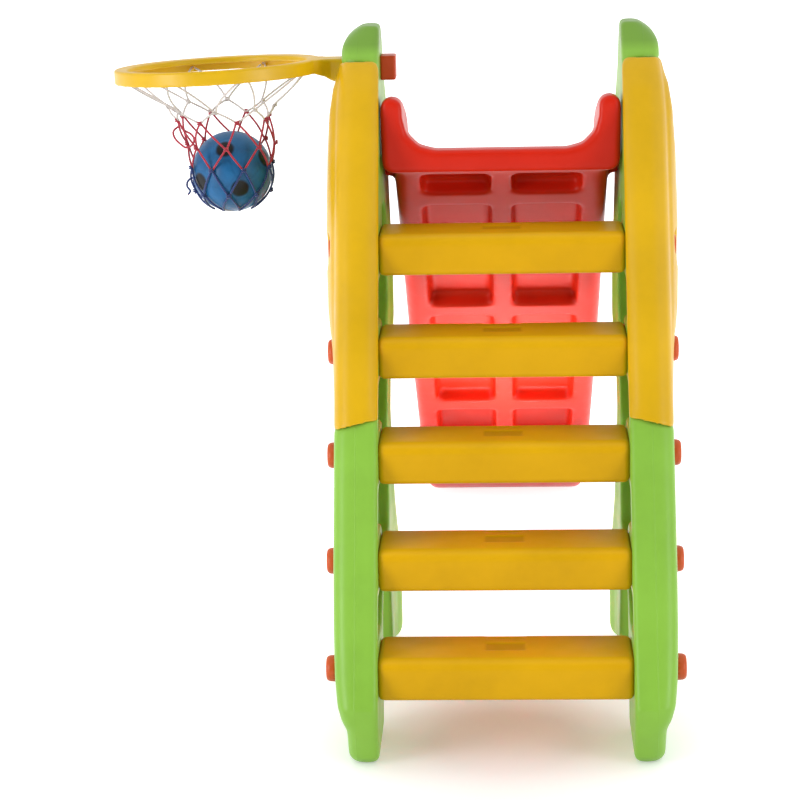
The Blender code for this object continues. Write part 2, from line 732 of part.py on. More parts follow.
def shell_slice(z, side):
    """One level of a shell: from its inner edge round the front to its rear, and back inside."""
    front = panel_front(z)
    outer = panel_side(z)
    fore = min(PANEL_FRONT_ROUND, (outer - FACE) * 0.5)
    start = front + fore
    length = shell_rear(z) - start
    shares = (0.08, 0.24, 0.42, 0.60, 0.78, 0.93)
    lip = FACE + SHELL_LIP
    outside = [(lip, front + SHELL_WALL * 0.9), (lip + SHELL_EDGE * 0.3, front + SHELL_WALL * 0.3),
               (lip + SHELL_EDGE, front)]
    outside += quarter(outer - fore, start, fore, -90, 0, 4)
    outside += [(outer + dome(z, share), start + length * share) for share in shares]
    outside.append((outer, start + length))
    inside = [(lip + share * SHELL_EDGE, front + SHELL_WALL) for share in (0.0, 0.3, 1.0)]
    inside += quarter(outer - fore, start, fore - SHELL_WALL, -90, 0, 4)
    inside += [(outer - SHELL_WALL, start + length * share) for share in shares]
    inside.append((outer - SHELL_WALL, start + length))
    return settle(outside + inside[::-1], z, side)


def make_side_shell(name, side, parts, tools):
    shell = skin(name, [shell_slice(z, side) for z in shell_levels()], parts, YELLOW, folded=True)
    for count in range(STEP_COUNT):
        place = step_bolt(count)
        if SHELL_BOTTOM - DIMPLE_DIAMETER < place[1] < SHELL_TOP:
            shank = KNOB_SHANK + 2 * CLEAR
            steps = [(FACE, shank), (SEAT, shank), (SEAT, DIMPLE_DIAMETER),
                     (OUTER + 2 * SHELL_DOME, DIMPLE_DIAMETER + SHELL_DOME)]
            cut(shell, bolt_hole(side, place, steps, tools))
    smooth_round_edges(shell.data)
    return shell


# Steps and knobs

def make_step(count, parts, tools):
    outline = step_outline(count)
    half = FACE - CLEAR
    ends = ((FACE + TENON, -TENON_SHOULDER), (half, -TENON_SHOULDER), (half, -STEP_END_ROUND),
            (half - STEP_END_ROUND * 0.30, -STEP_END_ROUND * 0.30), (half - STEP_END_ROUND, 0.0))
    rings = [(-x, inset) for x, inset in ends] + [(x, inset) for x, inset in ends[::-1]]
    sections = [(x, rounded(offset(outline, inset), 2)) for x, inset in rings]
    step = prism("step_%d" % (count + 1), sections, parts, YELLOW)
    y, z = step_place(count)
    rear = y + STEP_DEPTH - STEP_REAR_EDGE
    top = z + STEP_HEIGHT
    cut(step, box("grip_tool", (-GRIP_LENGTH / 2, rear - GRIP_WIDTH, top - GRIP_SINK),
                  (GRIP_LENGTH / 2, rear, top + CUT_OVERRUN), tools))
    shank = KNOB_SHANK + 2 * CLEAR
    steps = [(knob_tip() - CLEAR, shank), (FACE + TENON + CUT_OVERRUN, shank)]
    for side in (-1, 1):
        cut(step, bolt_hole(side, step_bolt(count), steps, tools))
    smooth_round_edges(step.data)
    return step


def knob_tip():
    """Distance of a knob's tip from the mid-plane."""
    return FACE + TENON - KNOB_GRIP


def make_knob(name, side, place, parts, tools):
    """Round-headed plastic bolt with a coin slot, its origin on its axis at the seat."""
    head = KNOB_DIAMETER / 2
    shank = KNOB_SHANK / 2
    tip = knob_tip() - SEAT
    profile = ((head * 0.80, KNOB_HEAD), (head, KNOB_HEAD * 0.72), (head, CLEAR), (shank, CLEAR),
               (shank, tip + shank * 0.3), (shank * 0.7, tip))
    rings = []
    for radius, along in profile:
        ring = []
        for index in range(KNOB_SIDES):
            angle = 2 * math.pi * index / KNOB_SIDES
            ring.append((side * along, radius * math.cos(angle), radius * math.sin(angle)))
        rings.append(ring)
    knob = skin(name, rings, parts, ORANGE)
    slot = box("slot_tool", (side * (KNOB_HEAD - KNOB_SLOT), -KNOB_SLOT / 2, -head * 0.5),
               (side * (KNOB_HEAD + CUT_OVERRUN), KNOB_SLOT / 2, head * 0.5), tools)
    cut(knob, slot)
    smooth_round_edges(knob.data)
    knob.location = (side * SEAT, place[0], place[1])
    return knob


# Chute

def chute_path():
    """Stations (y, z, pitch) along the underside, from the lip to the exit."""
    half = math.tan(CHUTE_SLOPE / 2)
    start = CHUTE_BEND_Y - CHUTE_TOP_BEND * half
    path = [(start, LIP_UNDERSIDE, 0.0)]
    for count in range(1, 5):
        pitch = CHUTE_SLOPE * count / 4
        path.append((start + CHUTE_TOP_BEND * math.sin(pitch),
                     LIP_UNDERSIDE - CHUTE_TOP_BEND * (1 - math.cos(pitch)), pitch))
    for count in range(0, 7):
        pitch = CHUTE_SLOPE * (1 - count / 6)
        path.append((FOOT_START - CHUTE_LOW_BEND * math.sin(pitch),
                     CHUTE_LOW_BEND * (1 - math.cos(pitch)), pitch))
    return path


def trough_section(width, height, inset):
    """Closed outline of the double-walled trough, as points (across, up)."""
    half = width / 2
    lip = min(1.0, max(0.0, (width - CHUTE_WIDTH) / (LIP_WIDTH - CHUTE_WIDTH)))
    wall = CHUTE_RIM + (LIP_RIM - CHUTE_RIM) * lip
    rim = wall * 0.47
    inner = half - wall
    low = half - CHUTE_DRAFT - (LIP_DRAFT - CHUTE_DRAFT) * lip
    fillet = min(CHUTE_FILLET, (height - CHUTE_FLOOR) * 0.60)
    corners = [(-low, 0, CHUTE_EDGE), (low, 0, CHUTE_EDGE),
               (half, height, rim), (inner, height, rim), (inner, CHUTE_FLOOR, fillet),
               (-inner, CHUTE_FLOOR, fillet), (-inner, height, rim), (-half, height, rim)]
    return rounded(offset(corners, inset), 3)


def chute_width(y):
    """Width of the chute: broad at the lip, even down the slope, drawn in at the foot."""
    neck = LIP_FRONT + LIP_NECK
    stops = ((neck, LIP_WIDTH), (neck + LIP_SHOULDER, CHUTE_WIDTH),
             (LIP_FRONT + CHUTE_TAPER_AFTER, CHUTE_WIDTH), (FOOT_START, CHUTE_FOOT_WIDTH))
    return straight(stops, y)


def chute_ring(y, z, pitch, height, inset=0.0):
    ring = []
    for across, up in trough_section(chute_width(y), height, inset):
        ring.append((across, y + up * math.sin(pitch), z + up * math.cos(pitch)))
    return ring


def chute_rings():
    path = chute_path()
    rings = []
    for along, inset in ((0.0, -END_ROUND), (END_ROUND * 0.3, -END_ROUND * 0.3), (END_ROUND, 0.0)):
        rings.append(chute_ring(LIP_FRONT + along, LIP_UNDERSIDE, 0.0, CHUTE_WALL_HEIGHT, inset))
    for index, (y, z, pitch) in enumerate(path):
        rings.append(chute_ring(y, z, pitch, CHUTE_WALL_HEIGHT))
        if index == 4:
            far = path[5]
            for share in (0.5, 0.85):
                rings.append(chute_ring(y + (far[0] - y) * share, z + (far[1] - z) * share, pitch,
                                        CHUTE_WALL_HEIGHT))
    run = CHUTE_EXIT - FOOT_START
    for share in (0.35, 0.70):
        height = CHUTE_WALL_HEIGHT + (CHUTE_EXIT_HEIGHT - CHUTE_WALL_HEIGHT) * share
        rings.append(chute_ring(FOOT_START + run * share, 0.0, 0.0, height))
    for along, inset in ((2.0, 0.0), (0.9, -0.3), (0.0, -2.0)):
        rings.append(chute_ring(CHUTE_EXIT - END_ROUND * along, 0.0, 0.0, CHUTE_EXIT_HEIGHT,
                                END_ROUND * inset))
    return rings


def pocket_cutter(middle, start, end, tools):
    """Rounded hollow in the chute's underside, between two distances from the top bend."""
    rings = []
    for up, inset in ((-CUT_OVERRUN * 2, POCKET_DRAFT * 0.3), (POCKET_DEPTH * 0.85, -POCKET_DRAFT),
                      (POCKET_DEPTH, -POCKET_DRAFT * 2.0)):
        corners = [(-POCKET_WIDTH / 2, start, POCKET_CORNER), (POCKET_WIDTH / 2, start, POCKET_CORNER),
                   (POCKET_WIDTH / 2, end, POCKET_CORNER), (-POCKET_WIDTH / 2, end, POCKET_CORNER)]
        ring = []
        for across, along in rounded(offset(corners, inset), 2):
            y = CHUTE_BEND_Y + along * math.cos(CHUTE_SLOPE) + up * math.sin(CHUTE_SLOPE)
            z = LIP_UNDERSIDE - along * math.sin(CHUTE_SLOPE) + up * math.cos(CHUTE_SLOPE)
            ring.append((middle + across, y, z))
        rings.append(ring)
    return skin("pocket_tool", rings, tools)


def pocket_spans():
    """Start and end of each row of hollows along the straight of the underside."""
    bend = CHUTE_LOW_BEND * math.tan(CHUTE_SLOPE / 2)
    last = math.hypot(CHUTE_LANDING - CHUTE_BEND_Y, LIP_UNDERSIDE) - bend - POCKET_RIB / 2
    first = CHUTE_TOP_BEND * math.tan(CHUTE_SLOPE / 2) + CLEAR
    rib = POCKET_FIRST_RIB
    spans = [(first, rib - POCKET_RIB / 2)]
    while rib + POCKET_PITCH * 0.6 < last:
        spans.append((rib + POCKET_RIB / 2, min(rib + POCKET_PITCH - POCKET_RIB / 2, last)))
        rib += POCKET_PITCH
    return spans


def make_chute(parts, tools):
    chute = skin("slide_chute", chute_rings(), parts, RED)
    for side in (-1, 1):
        end = FACE + INNER_SEAT - CLEAR
        start = CHUTE_WIDTH / 2 - CHUTE_RIM / 2
        boss = [(start, BOSS_DIAMETER), (end, BOSS_DIAMETER)]
        join(chute, bolt_hole(side, (BOSS_Y, BOSS_Z), boss, tools))
        shank = KNOB_SHANK + 2 * CLEAR
        hole = [(knob_tip() - CLEAR, shank), (end + CUT_OVERRUN, shank)]
        cut(chute, bolt_hole(side, (BOSS_Y, BOSS_Z), hole, tools))
    middle = (POCKET_MIDRIB + POCKET_WIDTH) / 2
    for start, end in pocket_spans():
        cut(chute, pocket_cutter(-middle, start, end, tools), pocket_cutter(middle, start, end, tools))
    smooth_round_edges(chute.data)
    return chute


# Hoop, its lock, net and ball

def hoop_frame():
    """Matrix of the ring: its middle at the origin, its top at z = 0, sagging from the arm."""
    root = Matrix.Translation((-(OUTER + ARM_LENGTH), HOOP_Y, HOOP_TOP))
    droop = Matrix.Rotation(-math.radians(HOOP_DROOP), 4, "Y")
    tilt = Matrix.Rotation(-math.radians(HOOP_TILT), 4, "X")
    return root @ droop @ Matrix.Translation((-HOOP_DIAMETER / 2, 0, 0)) @ tilt


def hoop_ring(parts):
    outer = HOOP_DIAMETER / 2
    inner = outer - HOOP_FLANGE
    wall = HOOP_WALL
    chamfer = HOOP_WALL * 0.7
    profile = [(outer, -HOOP_HEIGHT), (outer, -chamfer), (outer - chamfer, 0), (inner + chamfer, -chamfer * 0.5),
               (inner, -chamfer * 1.4), (inner, -HOOP_INNER_LIP), (inner + wall * 0.8, -HOOP_INNER_LIP),
               (inner + wall * 0.8, -wall * 1.4), (outer - wall, -wall), (outer - wall, -HOOP_HEIGHT)]
    place = hoop_frame()
    rings = []
    for index in range(HOOP_SIDES):
        angle = 2 * math.pi * index / HOOP_SIDES
        rings.append([place @ Vector((radius * math.cos(angle), radius * math.sin(angle), z))
                      for radius, z in profile])
    return skin("hoop", rings, parts, YELLOW, closed=True)


def hook_angle(index):
    return 2 * math.pi * (index + 0.5) / HOOK_COUNT


def hook(index, tools):
    """Peg under the ring with a turned-up end, which a loop of the net hangs on."""
    place = hoop_frame()
    turn = Matrix.Rotation(hook_angle(index), 4, "Z")
    root = HOOP_DIAMETER / 2 - HOOP_WALL * 0.5
    tip = root - HOOP_WALL * 0.5 - HOOK_LENGTH
    points = [(root, -HOOK_DROP), (tip + 0.001, -HOOK_DROP), (tip - 0.0015, -HOOK_DROP + 0.0015),
              (tip - 0.002, -HOOK_DROP + 0.005)]
    return tube("hook_tool", [place @ turn @ Vector((radius, 0, z)) for radius, z in points],
                HOOK_DIAMETER, tools)


def arm_section(x, half, low, high, tilt=0.0, edge=0.004):
    """Rounded section of the arm, as a station of a loft, tilted by a share of the ring's tilt."""
    lean = math.tan(math.radians(HOOP_TILT)) * tilt
    corners = [(HOOP_Y - half, low + half * lean, edge), (HOOP_Y + half, low - half * lean, edge),
               (HOOP_Y + half, high - half * lean, edge), (HOOP_Y - half, high + half * lean, edge)]
    return x, rounded(corners, 2)


def arm_seat():
    """Distance of the arm's seat on the left panel from the mid-plane."""
    return panel_side(HOOP_TOP) - SEAT_DEPTH


def hoop_arm(tools):
    root = -(OUTER + ARM_LENGTH)
    seat = -(arm_seat() + CLEAR)
    top = HOOP_TOP - 0.0006
    foot_low = HOOP_TOP - HOOP_HEIGHT
    low = HOOP_TOP - ARM_HEIGHT
    deep = foot_low - low
    stations = [arm_section(root - ARM_LENGTH * 0.38, ARM_ROOT_WIDTH / 2, foot_low + 0.002, top - 0.001, 1.0),
                arm_section(root + ARM_LENGTH * 0.09, ARM_ROOT_WIDTH * 0.38, foot_low - deep * 0.25, top, 1.0),
                arm_section(root + ARM_LENGTH * 0.34, ARM_ROOT_WIDTH * 0.28, foot_low - deep * 0.45, top, 0.7),
                arm_section(root + ARM_LENGTH * 0.62, ARM_WIDTH * 0.51, foot_low - deep * 0.85, top, 0.2),
                arm_section(root + ARM_LENGTH * 0.81, ARM_WIDTH * 0.5, low, top),
                arm_section(seat, ARM_WIDTH * 0.5, low, top)]
    return prism("arm_tool", stations, tools)


def tongue_box(name, near, far, grow, group, edge=0.0):
    """Square tongue of the hoop between two distances from the mid-plane."""
    middle = HOOP_TOP - TONGUE_DROP
    half = TONGUE / 2 + grow
    return box(name, (-far, HOOP_Y - half, middle - half), (-near, HOOP_Y + half, middle + half), group, edge)


def lock_faces():
    """Inner and outer face of the lock, as distances from the mid-plane."""
    seat = FACE + INNER_SEAT - CLEAR
    return seat - LOCK_THICK, seat


def hoop_cutters(tools):
    """Slot for the hoop's tongue, and the flat seats of its arm and its lock."""
    middle = HOOP_TOP - TONGUE_DROP
    half = LOCK_SIDE / 2 + 2 * CLEAR
    arm_half = ARM_WIDTH / 2 + 2 * CLEAR
    slot = tongue_box("slot_tool", FACE - 0.020, OUTER + 0.020, CLEAR, tools)
    pocket = box("seat_tool", (-OUTER - 0.020, HOOP_Y - arm_half, HOOP_TOP - ARM_HEIGHT - 2 * CLEAR),
                 (-arm_seat(), HOOP_Y + arm_half, HOOP_TOP + 0.004), tools)
    lock_seat = box("seat_tool", (-FACE - INNER_SEAT, HOOP_Y - half, middle - half),
                    (-FACE + 0.020, HOOP_Y + half, middle + half), tools)
    return slot, pocket, lock_seat


def make_hoop(parts, tools):
    hoop = hoop_ring(parts)
    join(hoop, hoop_arm(tools))
    inner, seat = lock_faces()
    join(hoop, tongue_box("tongue_tool", inner + LOCK_COVER + CLEAR, arm_seat() + 0.010, 0.0, tools))
    join(hoop, *[hook(index, tools) for index in range(HOOK_COUNT)])
    smooth_round_edges(hoop.data)
    return hoop


def make_hoop_lock(parts, tools):
    inner, seat = lock_faces()
    middle = HOOP_TOP - TONGUE_DROP
    half = LOCK_SIDE / 2
    lock = box("hoop_lock", (-seat, HOOP_Y - half, middle - half), (-inner, HOOP_Y + half, middle + half),
               parts, 0.0025)
    lock.data.materials.append(make_material(RUST))
    cut(lock, tongue_box("socket_tool", inner + LOCK_COVER, seat + CUT_OVERRUN, CLEAR, tools))
    smooth_round_edges(lock.data)
    return lock


def ball_centre():
    foot_middle = hoop_frame() @ Vector((0, 0, -HOOP_HEIGHT))
    return foot_middle + Vector((NET_SWAY, 0, -BALL_DROP))


def net_station(row):
    """Depth below the ring's foot and radius of the net at a row, which may lie between rows."""
    reach = BALL_DIAMETER / 2 + CORD / 2 + BALL_CLEAR

    def on_ball(polar):
        return BALL_DROP - reach * math.cos(math.radians(polar)), reach * math.sin(math.radians(polar))

    hook_top = HOOK_DROP - HOOK_DIAMETER / 2 - CORD / 2 - CORD_GAP - HOOP_HEIGHT
    free = [(hook_top, HOOP_DIAMETER / 2 - HOOP_WALL - HOOK_LENGTH * 0.55)] + list(NET_ROWS)
    free.append(on_ball(BALL_ROWS[0]))
    last = len(free) - 1
    if row <= last:
        index = min(int(row), last - 1)
        share = row - index
        low, high = free[index], free[index + 1]
        return low[0] + (high[0] - low[0]) * share, low[1] + (high[1] - low[1]) * share
    index = min(int(row) - last, len(BALL_ROWS) - 2)
    share = row - last - index
    return on_ball(BALL_ROWS[index] + (BALL_ROWS[index + 1] - BALL_ROWS[index]) * share)


def net_point(row, angle):
    """Point of the net at a row and an angle, following the ring's sag at the hooks."""
    depth, radius = net_station(row)
    place = hoop_frame()
    level = place @ Vector((0, 0, -HOOP_HEIGHT))
    sway = max(0.0, min(1.0, depth / NET_ROWS[-1][0])) * NET_SWAY
    hung = level + Vector((radius * math.cos(angle) + sway, radius * math.sin(angle), -depth))
    tied = place @ Vector((radius * math.cos(angle), radius * math.sin(angle), -HOOP_HEIGHT - depth))
    return tied.lerp(hung, min(1.0, max(0.0, row)))


def tier_points(tier):
    """Closed zigzag of one cord between two rows of knots."""
    pitch = math.pi / HOOK_COUNT
    gap = (CORD + CORD_GAP) / 2
    above = 0.0 if tier == 0 else 0.1 * gap / max(row_length(tier, tier + 0.1), 1e-6)
    below = 0.1 * gap / max(row_length(tier + 0.9, tier + 1), 1e-6)
    if tier == len(NET_ROWS) + len(BALL_ROWS) - 1:
        below = 0.0
    top = tier + above
    foot_row = tier + 1 - below
    top_lap = 0.75 * CORD / (pitch * net_station(top)[1])
    foot_lap = 0.75 * CORD / (pitch * net_station(foot_row)[1])
    steps = ((-top_lap, 0.0), (top_lap, 0.0), (0.5, 0.5), (1 - foot_lap, 1.0), (1 + foot_lap, 1.0), (1.5, 0.5))
    points = []
    for index in range(HOOK_COUNT):
        upper = hook_angle(index) + (tier % 2) * pitch
        for turn, fall in steps:
            points.append(net_point(top + (foot_row - top) * fall, upper + turn * pitch))
    return points


def row_length(first, last):
    """Length along the net's side between two rows."""
    low = net_station(first)
    high = net_station(last)
    return math.hypot(high[0] - low[0], high[1] - low[1])


def make_net(parts):
    names = (("net_white_upper", WHITE_CORD), ("net_white_lower", WHITE_CORD), ("net_red_upper", RED_CORD),
             ("net_red_lower", RED_CORD), ("net_blue_upper", BLUE_CORD), ("net_blue_lower", BLUE_CORD))
    for tier, (name, finish) in enumerate(names):
        tube(name, tier_points(tier), CORD, parts, finish, cyclic=True)


def make_ball(parts):
    mesh = bpy.data.meshes.new("ball")
    shape = bmesh.new()
    bmesh.ops.create_uvsphere(shape, u_segments=24, v_segments=12, radius=BALL_DIAMETER / 2)
    shape.to_mesh(mesh)
    shape.free()
    mesh.shade_smooth()
    ball = add_object("ball", mesh, parts, BALL_SKIN)
    ball.location = ball_centre()
    return ball


def main():
    clear_scene()
    parts = make_collection("kids_slide")
    tools = make_collection("cutters")
    for label, side in (("left", -1), ("right", 1)):
        make_side_panel(label + "_side_panel", side, parts, tools, with_slot=side < 0)
        make_side_shell(label + "_side_shell", side, parts, tools)
        for count in range(STEP_COUNT):
            make_knob("step_knob_%s_%d" % (label, count + 1), side, step_bolt(count), parts, tools)
        make_knob("chute_knob_" + label, side, (BOSS_Y, BOSS_Z), parts, tools)
    for count in range(STEP_COUNT):
        make_step(count, parts, tools)
    make_chute(parts, tools)
    make_hoop(parts, tools)
    make_hoop_lock(parts, tools)
    make_net(parts)
    make_ball(parts)
    for item in parts.objects:
        item.location.y -= ORIGIN_Y


main()
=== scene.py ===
"""Render scene of the kids slide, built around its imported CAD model.

Metres, +Z up. The ladder faces -Y and the chute runs out along +Y.
"""
import math

import bmesh
import bpy
from mathutils import Euler, Matrix, Vector


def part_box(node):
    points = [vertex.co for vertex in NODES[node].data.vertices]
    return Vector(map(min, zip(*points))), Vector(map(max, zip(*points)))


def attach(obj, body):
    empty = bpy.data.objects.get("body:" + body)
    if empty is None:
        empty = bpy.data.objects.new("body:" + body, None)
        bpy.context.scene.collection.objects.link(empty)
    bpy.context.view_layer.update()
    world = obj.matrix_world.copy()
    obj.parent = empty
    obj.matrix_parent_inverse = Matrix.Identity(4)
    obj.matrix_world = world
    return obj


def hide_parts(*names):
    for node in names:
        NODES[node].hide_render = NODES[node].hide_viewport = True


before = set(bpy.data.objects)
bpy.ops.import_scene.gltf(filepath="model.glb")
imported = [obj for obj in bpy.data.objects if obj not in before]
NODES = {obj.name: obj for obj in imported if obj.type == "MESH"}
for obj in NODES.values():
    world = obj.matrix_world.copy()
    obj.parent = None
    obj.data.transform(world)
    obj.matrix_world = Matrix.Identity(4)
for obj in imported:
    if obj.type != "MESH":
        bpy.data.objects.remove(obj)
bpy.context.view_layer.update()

# Camera of the photograph

CAMERA_PLACE = (0.0079, -5.0021, 1.4645)
CAMERA_PITCH = 14.495
CAMERA_YAW = -2.785
CAMERA_ROLL = 1.284
CAMERA_LENS = 103.28

# Dimensions that the solids were made with

ORIGIN_Y = 1.6368
OUTER = 0.272
SEAT = 0.270

KNOB_HEAD = 0.0153
KNOB_SLOT = 0.004

HOOP_DIAMETER = 0.347
HOOP_HEIGHT = 0.024
HOOP_WALL = 0.0035
HOOP_TOP = 1.0585
HOOP_Y = 0.512 - ORIGIN_Y
HOOP_DROOP = 2.2
HOOP_TILT = 1.8
ARM_LENGTH = 0.032
HOOP_SIDES = 44
RING_REACH = 0.52             # share of the diameter that holds the ring but not its arm
HOOK_COUNT = 8
HOOK_DIAMETER = 0.004
HOOK_LENGTH = 0.012
HOOK_DROP = 0.019

CORD = 0.0028
CORD_GAP = 0.0001
NET_SWAY = 0.018
NET_ROWS = ((0.048, 0.089), (0.068, 0.079), (0.112, 0.0735))
BALL_DIAMETER = 0.137
BALL_DROP = 0.160
BALL_ROWS = (81.0, 118.0, 151.0)
BALL_CLEAR = 0.0011

# How each kind of moulding is rebuilt: voxel size and rounds of smoothing

PANEL_SKIN = (0.0035, 10)
SHELL_SKIN = (0.0022, 22)
STEP_SKIN = (0.0028, 14)
CHUTE_SKIN = (0.0042, 10)
HOOP_SKIN = (0.0016, 3)
LOCK_SKIN = (0.0012, 5)

# Head of a knob: share of its reach, and how far below its top

KNOB_PROFILE = ((0.0, 0.0012), (0.30, 0.0010), (0.58, 0.0012), (0.64, 0.0003), (0.74, 0.0), (0.84, 0.0008),
                (0.93, 0.0030), (0.985, 0.0062))
KNOB_RADIUS = 0.0210
KNOB_SPREAD = 1.02            # brings the drawn head close to the solid's 0.0215
KNOB_SIDES = 48
KNOB_FLUTES = 16
KNOB_FLUTE_DEPTH = 0.016
KNOB_LIFT = 0.0003            # underside of the head above its seat
KNOB_RIM = 0.0012             # height of the rim's lower edge
KNOB_BEVEL = 0.0008
KNOB_SHANK = 0.0070
KNOB_TIP = 0.0050
KNOB_TAPER = 0.002
KNOB_EDGE = 0.0003            # rounding of the slot and the rim
SLOT_DEPTH = 0.0020
FLUTE_FOOT = 0.0025           # the flutes start above this height

# How the net is drawn

CORD_FLUFF = 1.35             # drawn thickness against the solid cord
ROPE_RADIUS = CORD * 0.5 * CORD_FLUFF
ROPE_STRANDS = 3
ROPE_SIDES = 12
ROPE_STEP = 0.0012
ROPE_LAY = 0.011
KNOT_PROUD = 0.0028           # how far a knot sits outside its crossing
KNOT_LAY = 0.007
KNOT_TURNS = 2.0
KNOT_STEPS = 10               # points in one turn of a knot
KNOT_RADIUS = 1.25            # of its wraps, in rope radii
KNOT_WIDE = 1.45              # how much wider than deep it is
KNOT_PITCH = 1.7              # between its wraps, in rope radii
KNOT_THIN = 0.8               # its cord against the rope
KNOT_SPAN = 0.03              # share of a run that lies along a knot
STRAND_LOW = 0.80             # rope's radius between two strands
STRAND_RISE = 0.20
SLACK = 0.0022                # bow of a free run between two knots
RUN_STEPS = 10                # points in a free run, and in one along a knot
TIE_STEPS = 2
WAVER_RUN = 2.4               # how the bow varies from run to run and row to row
WAVER_TIER = 1.7
BALL_TIER = 3                 # first row of cord that lies on the ball, with less bow
BALL_LIFT = 0.25
BALL_DRIFT = 0.6

# Loose runs of the net, from the ball's middle

LOOSE_CORDS = {
    "net_red_upper": (
        ((-0.0860, -0.012, 0.0800), (-0.0940, -0.014, 0.0745), (-0.0962, -0.016, 0.0680),
         (-0.0920, -0.020, 0.0590), (-0.0830, -0.028, 0.0520), (-0.0735, -0.036, 0.0470),
         (-0.0640, -0.044, 0.0500), (-0.0575, -0.050, 0.0570), (-0.0565, -0.052, 0.0650),
         (-0.0620, -0.048, 0.0715), (-0.0710, -0.038, 0.0745), (-0.0810, -0.020, 0.0780)),),
    "net_blue_lower": (
        ((-0.0640, -0.024, -0.0060), (-0.0700, -0.026, -0.0085), (-0.0745, -0.026, -0.0140),
         (-0.0750, -0.026, -0.0210), (-0.0715, -0.026, -0.0260), (-0.0700, -0.026, -0.0290),
         (-0.0725, -0.026, -0.0330), (-0.0745, -0.026, -0.0350)),)}

# Rolled inner edge of the shells

CURL_FROM = 0.207
CURL_TO = 0.1985
CURL_EDGE = 0.009
CURL_CORNER = 0.022
CURL_ROUND = 0.0110
CURL_BACK = 0.013
CURL_PROUD = 0.0004
CURL_STEP = 0.003
CURL_TUCK = 0.0010            # how far its outer edge sinks into the shell
EDGE_NEAR = 0.0002            # how close to the shell's edge a corner counts as on it
FRONT_CROWN = 0.008           # how far a shell's front swells

# Shallow mark on each tread, which the material darkens with painted shade

GRIP_LENGTH = 0.066
GRIP_WIDTH = 0.034
GRIP_BACK = 0.004
GRIP_SINK = 0.0012
GRIP_EDGE = 0.003
TREAD_SKIN = 0.008            # only corners this close to the top of a tread move

# Light of the room

WHITE = (1.0, 1.0, 1.0, 1.0)
FLOOR_WHITE = 0.84
FLOOR_GLOW = 0.15
FLOOR_GLOW_FAR = 0.80
# Painted shade on the floor: its glow is held low round this point, under the first step, and rises to full
# between the two reaches below
PAINTED_SHADE_Y = -1.55               # middle of the shade on the floor
PAINTED_SHADE_FROM = 0.12
PAINTED_SHADE_TO = 0.57
ROOM_LIGHT = 0.70
ROOM_FRONT = 0.12             # brightness on the photograph's side, and overhead
ROOM_TOP = 1.60
FRONT_BAND = (-0.95, -0.35)   # where each passes into the rest of the room
TOP_BAND = (0.15, 0.9)

# Lamps: name, place, target, size, power, spread, and whether gloss mirrors it

LAMPS = (("key", (-3.6, -4.0, 1.25), (0.0, -1.3, 0.5), 2.0, 84.0, 180.0, True),
         ("fill", (3.6, -4.0, 1.10), (0.0, -1.3, 0.5), 2.0, 58.0, 180.0, True),
         ("low_left", (-1.9, -0.50, 0.22), (0.0, -0.50, 0.30), 0.8, 5.0, 60.0, False),
         ("low_right", (1.9, -0.50, 0.22), (0.0, -0.50, 0.30), 0.8, 5.0, 60.0, False),
         ("under", (0.0, -0.70, 0.012), (0.0, -0.62, 1.0), 0.30, 1.5, 80.0, False))

# Ball: its turn, the reach of dark and pale panels, and its seams

BALL_TURN = (-176.013, 40.489, -135.233)
DARK_REACH = 0.9393
PALE_REACH = 0.9149
SEAM_WIDTH = 0.018
PUFF_WIDTH = 0.12
BALL_INSET = 0.0004
SEAM_DEPTH = 0.0006
PUFF_HEIGHT = 0.0004
SPOT_EDGE = 0.952
SPOT_FADE = 0.04


# Camera

def make_camera():
    yaw, pitch, roll = (math.radians(value) for value in (CAMERA_YAW, CAMERA_PITCH, CAMERA_ROLL))
    ahead = Vector((math.sin(yaw) * math.cos(pitch), math.cos(yaw) * math.cos(pitch), -math.sin(pitch)))
    level = Vector((math.cos(yaw), -math.sin(yaw), 0.0))
    above = level.cross(ahead)
    right = level * math.cos(roll) - above * math.sin(roll)
    up = level * math.sin(roll) + above * math.cos(roll)
    data = bpy.data.cameras.new("camera")
    data.sensor_width = 36.0
    data.lens = CAMERA_LENS
    camera = bpy.data.objects.new("camera", data)
    bpy.context.scene.collection.objects.link(camera)
    turn = Matrix((right, up, -ahead)).transposed().to_4x4()
    camera.matrix_world = Matrix.Translation(CAMERA_PLACE) @ turn
    bpy.context.scene.camera = camera


# Materials

CLOUD_SCALE = 7.0
SPECK_SCALE = 55.0
MATTE_SCALE = 24.0
GRAIN_SCALE = 1300.0
RIPPLE_SCALE = 22.0
PLASTIC_IOR = 1.50
# Painted shade on the green caps: darker above a height, fading in over the first of these
CAP_PAINTED_SHADE_FADE = 0.016
CAP_PAINTED_SHADE = 0.66
PARTING_EDGE = 0.0004         # half width of the parting line, and where it has faded
PARTING_FADE = 0.0011
PARTING_RISE = 0.0003
# Painted shade in the sunk mark on the treads: its strength and darkness
RECESS_SHADE_STRENGTH = 0.5
RECESS_PAINTED_SHADE = 0.55


def linear(red, green, blue):
    """Linear colour of a display colour given in 0 to 255."""
    def one(value):
        value /= 255.0
        return value / 12.92 if value <= 0.04045 else ((value + 0.055) / 1.055) ** 2.4
    return one(red), one(green), one(blue), 1.0


def new_material(name):
    material = bpy.data.materials.new(name)
    material.use_nodes = True
    nodes = material.node_tree.nodes
    nodes.clear()
    output = nodes.new("ShaderNodeOutputMaterial")
    shader = nodes.new("ShaderNodeBsdfPrincipled")
    material.node_tree.links.new(shader.outputs[0], output.inputs[0])
    return material, shader


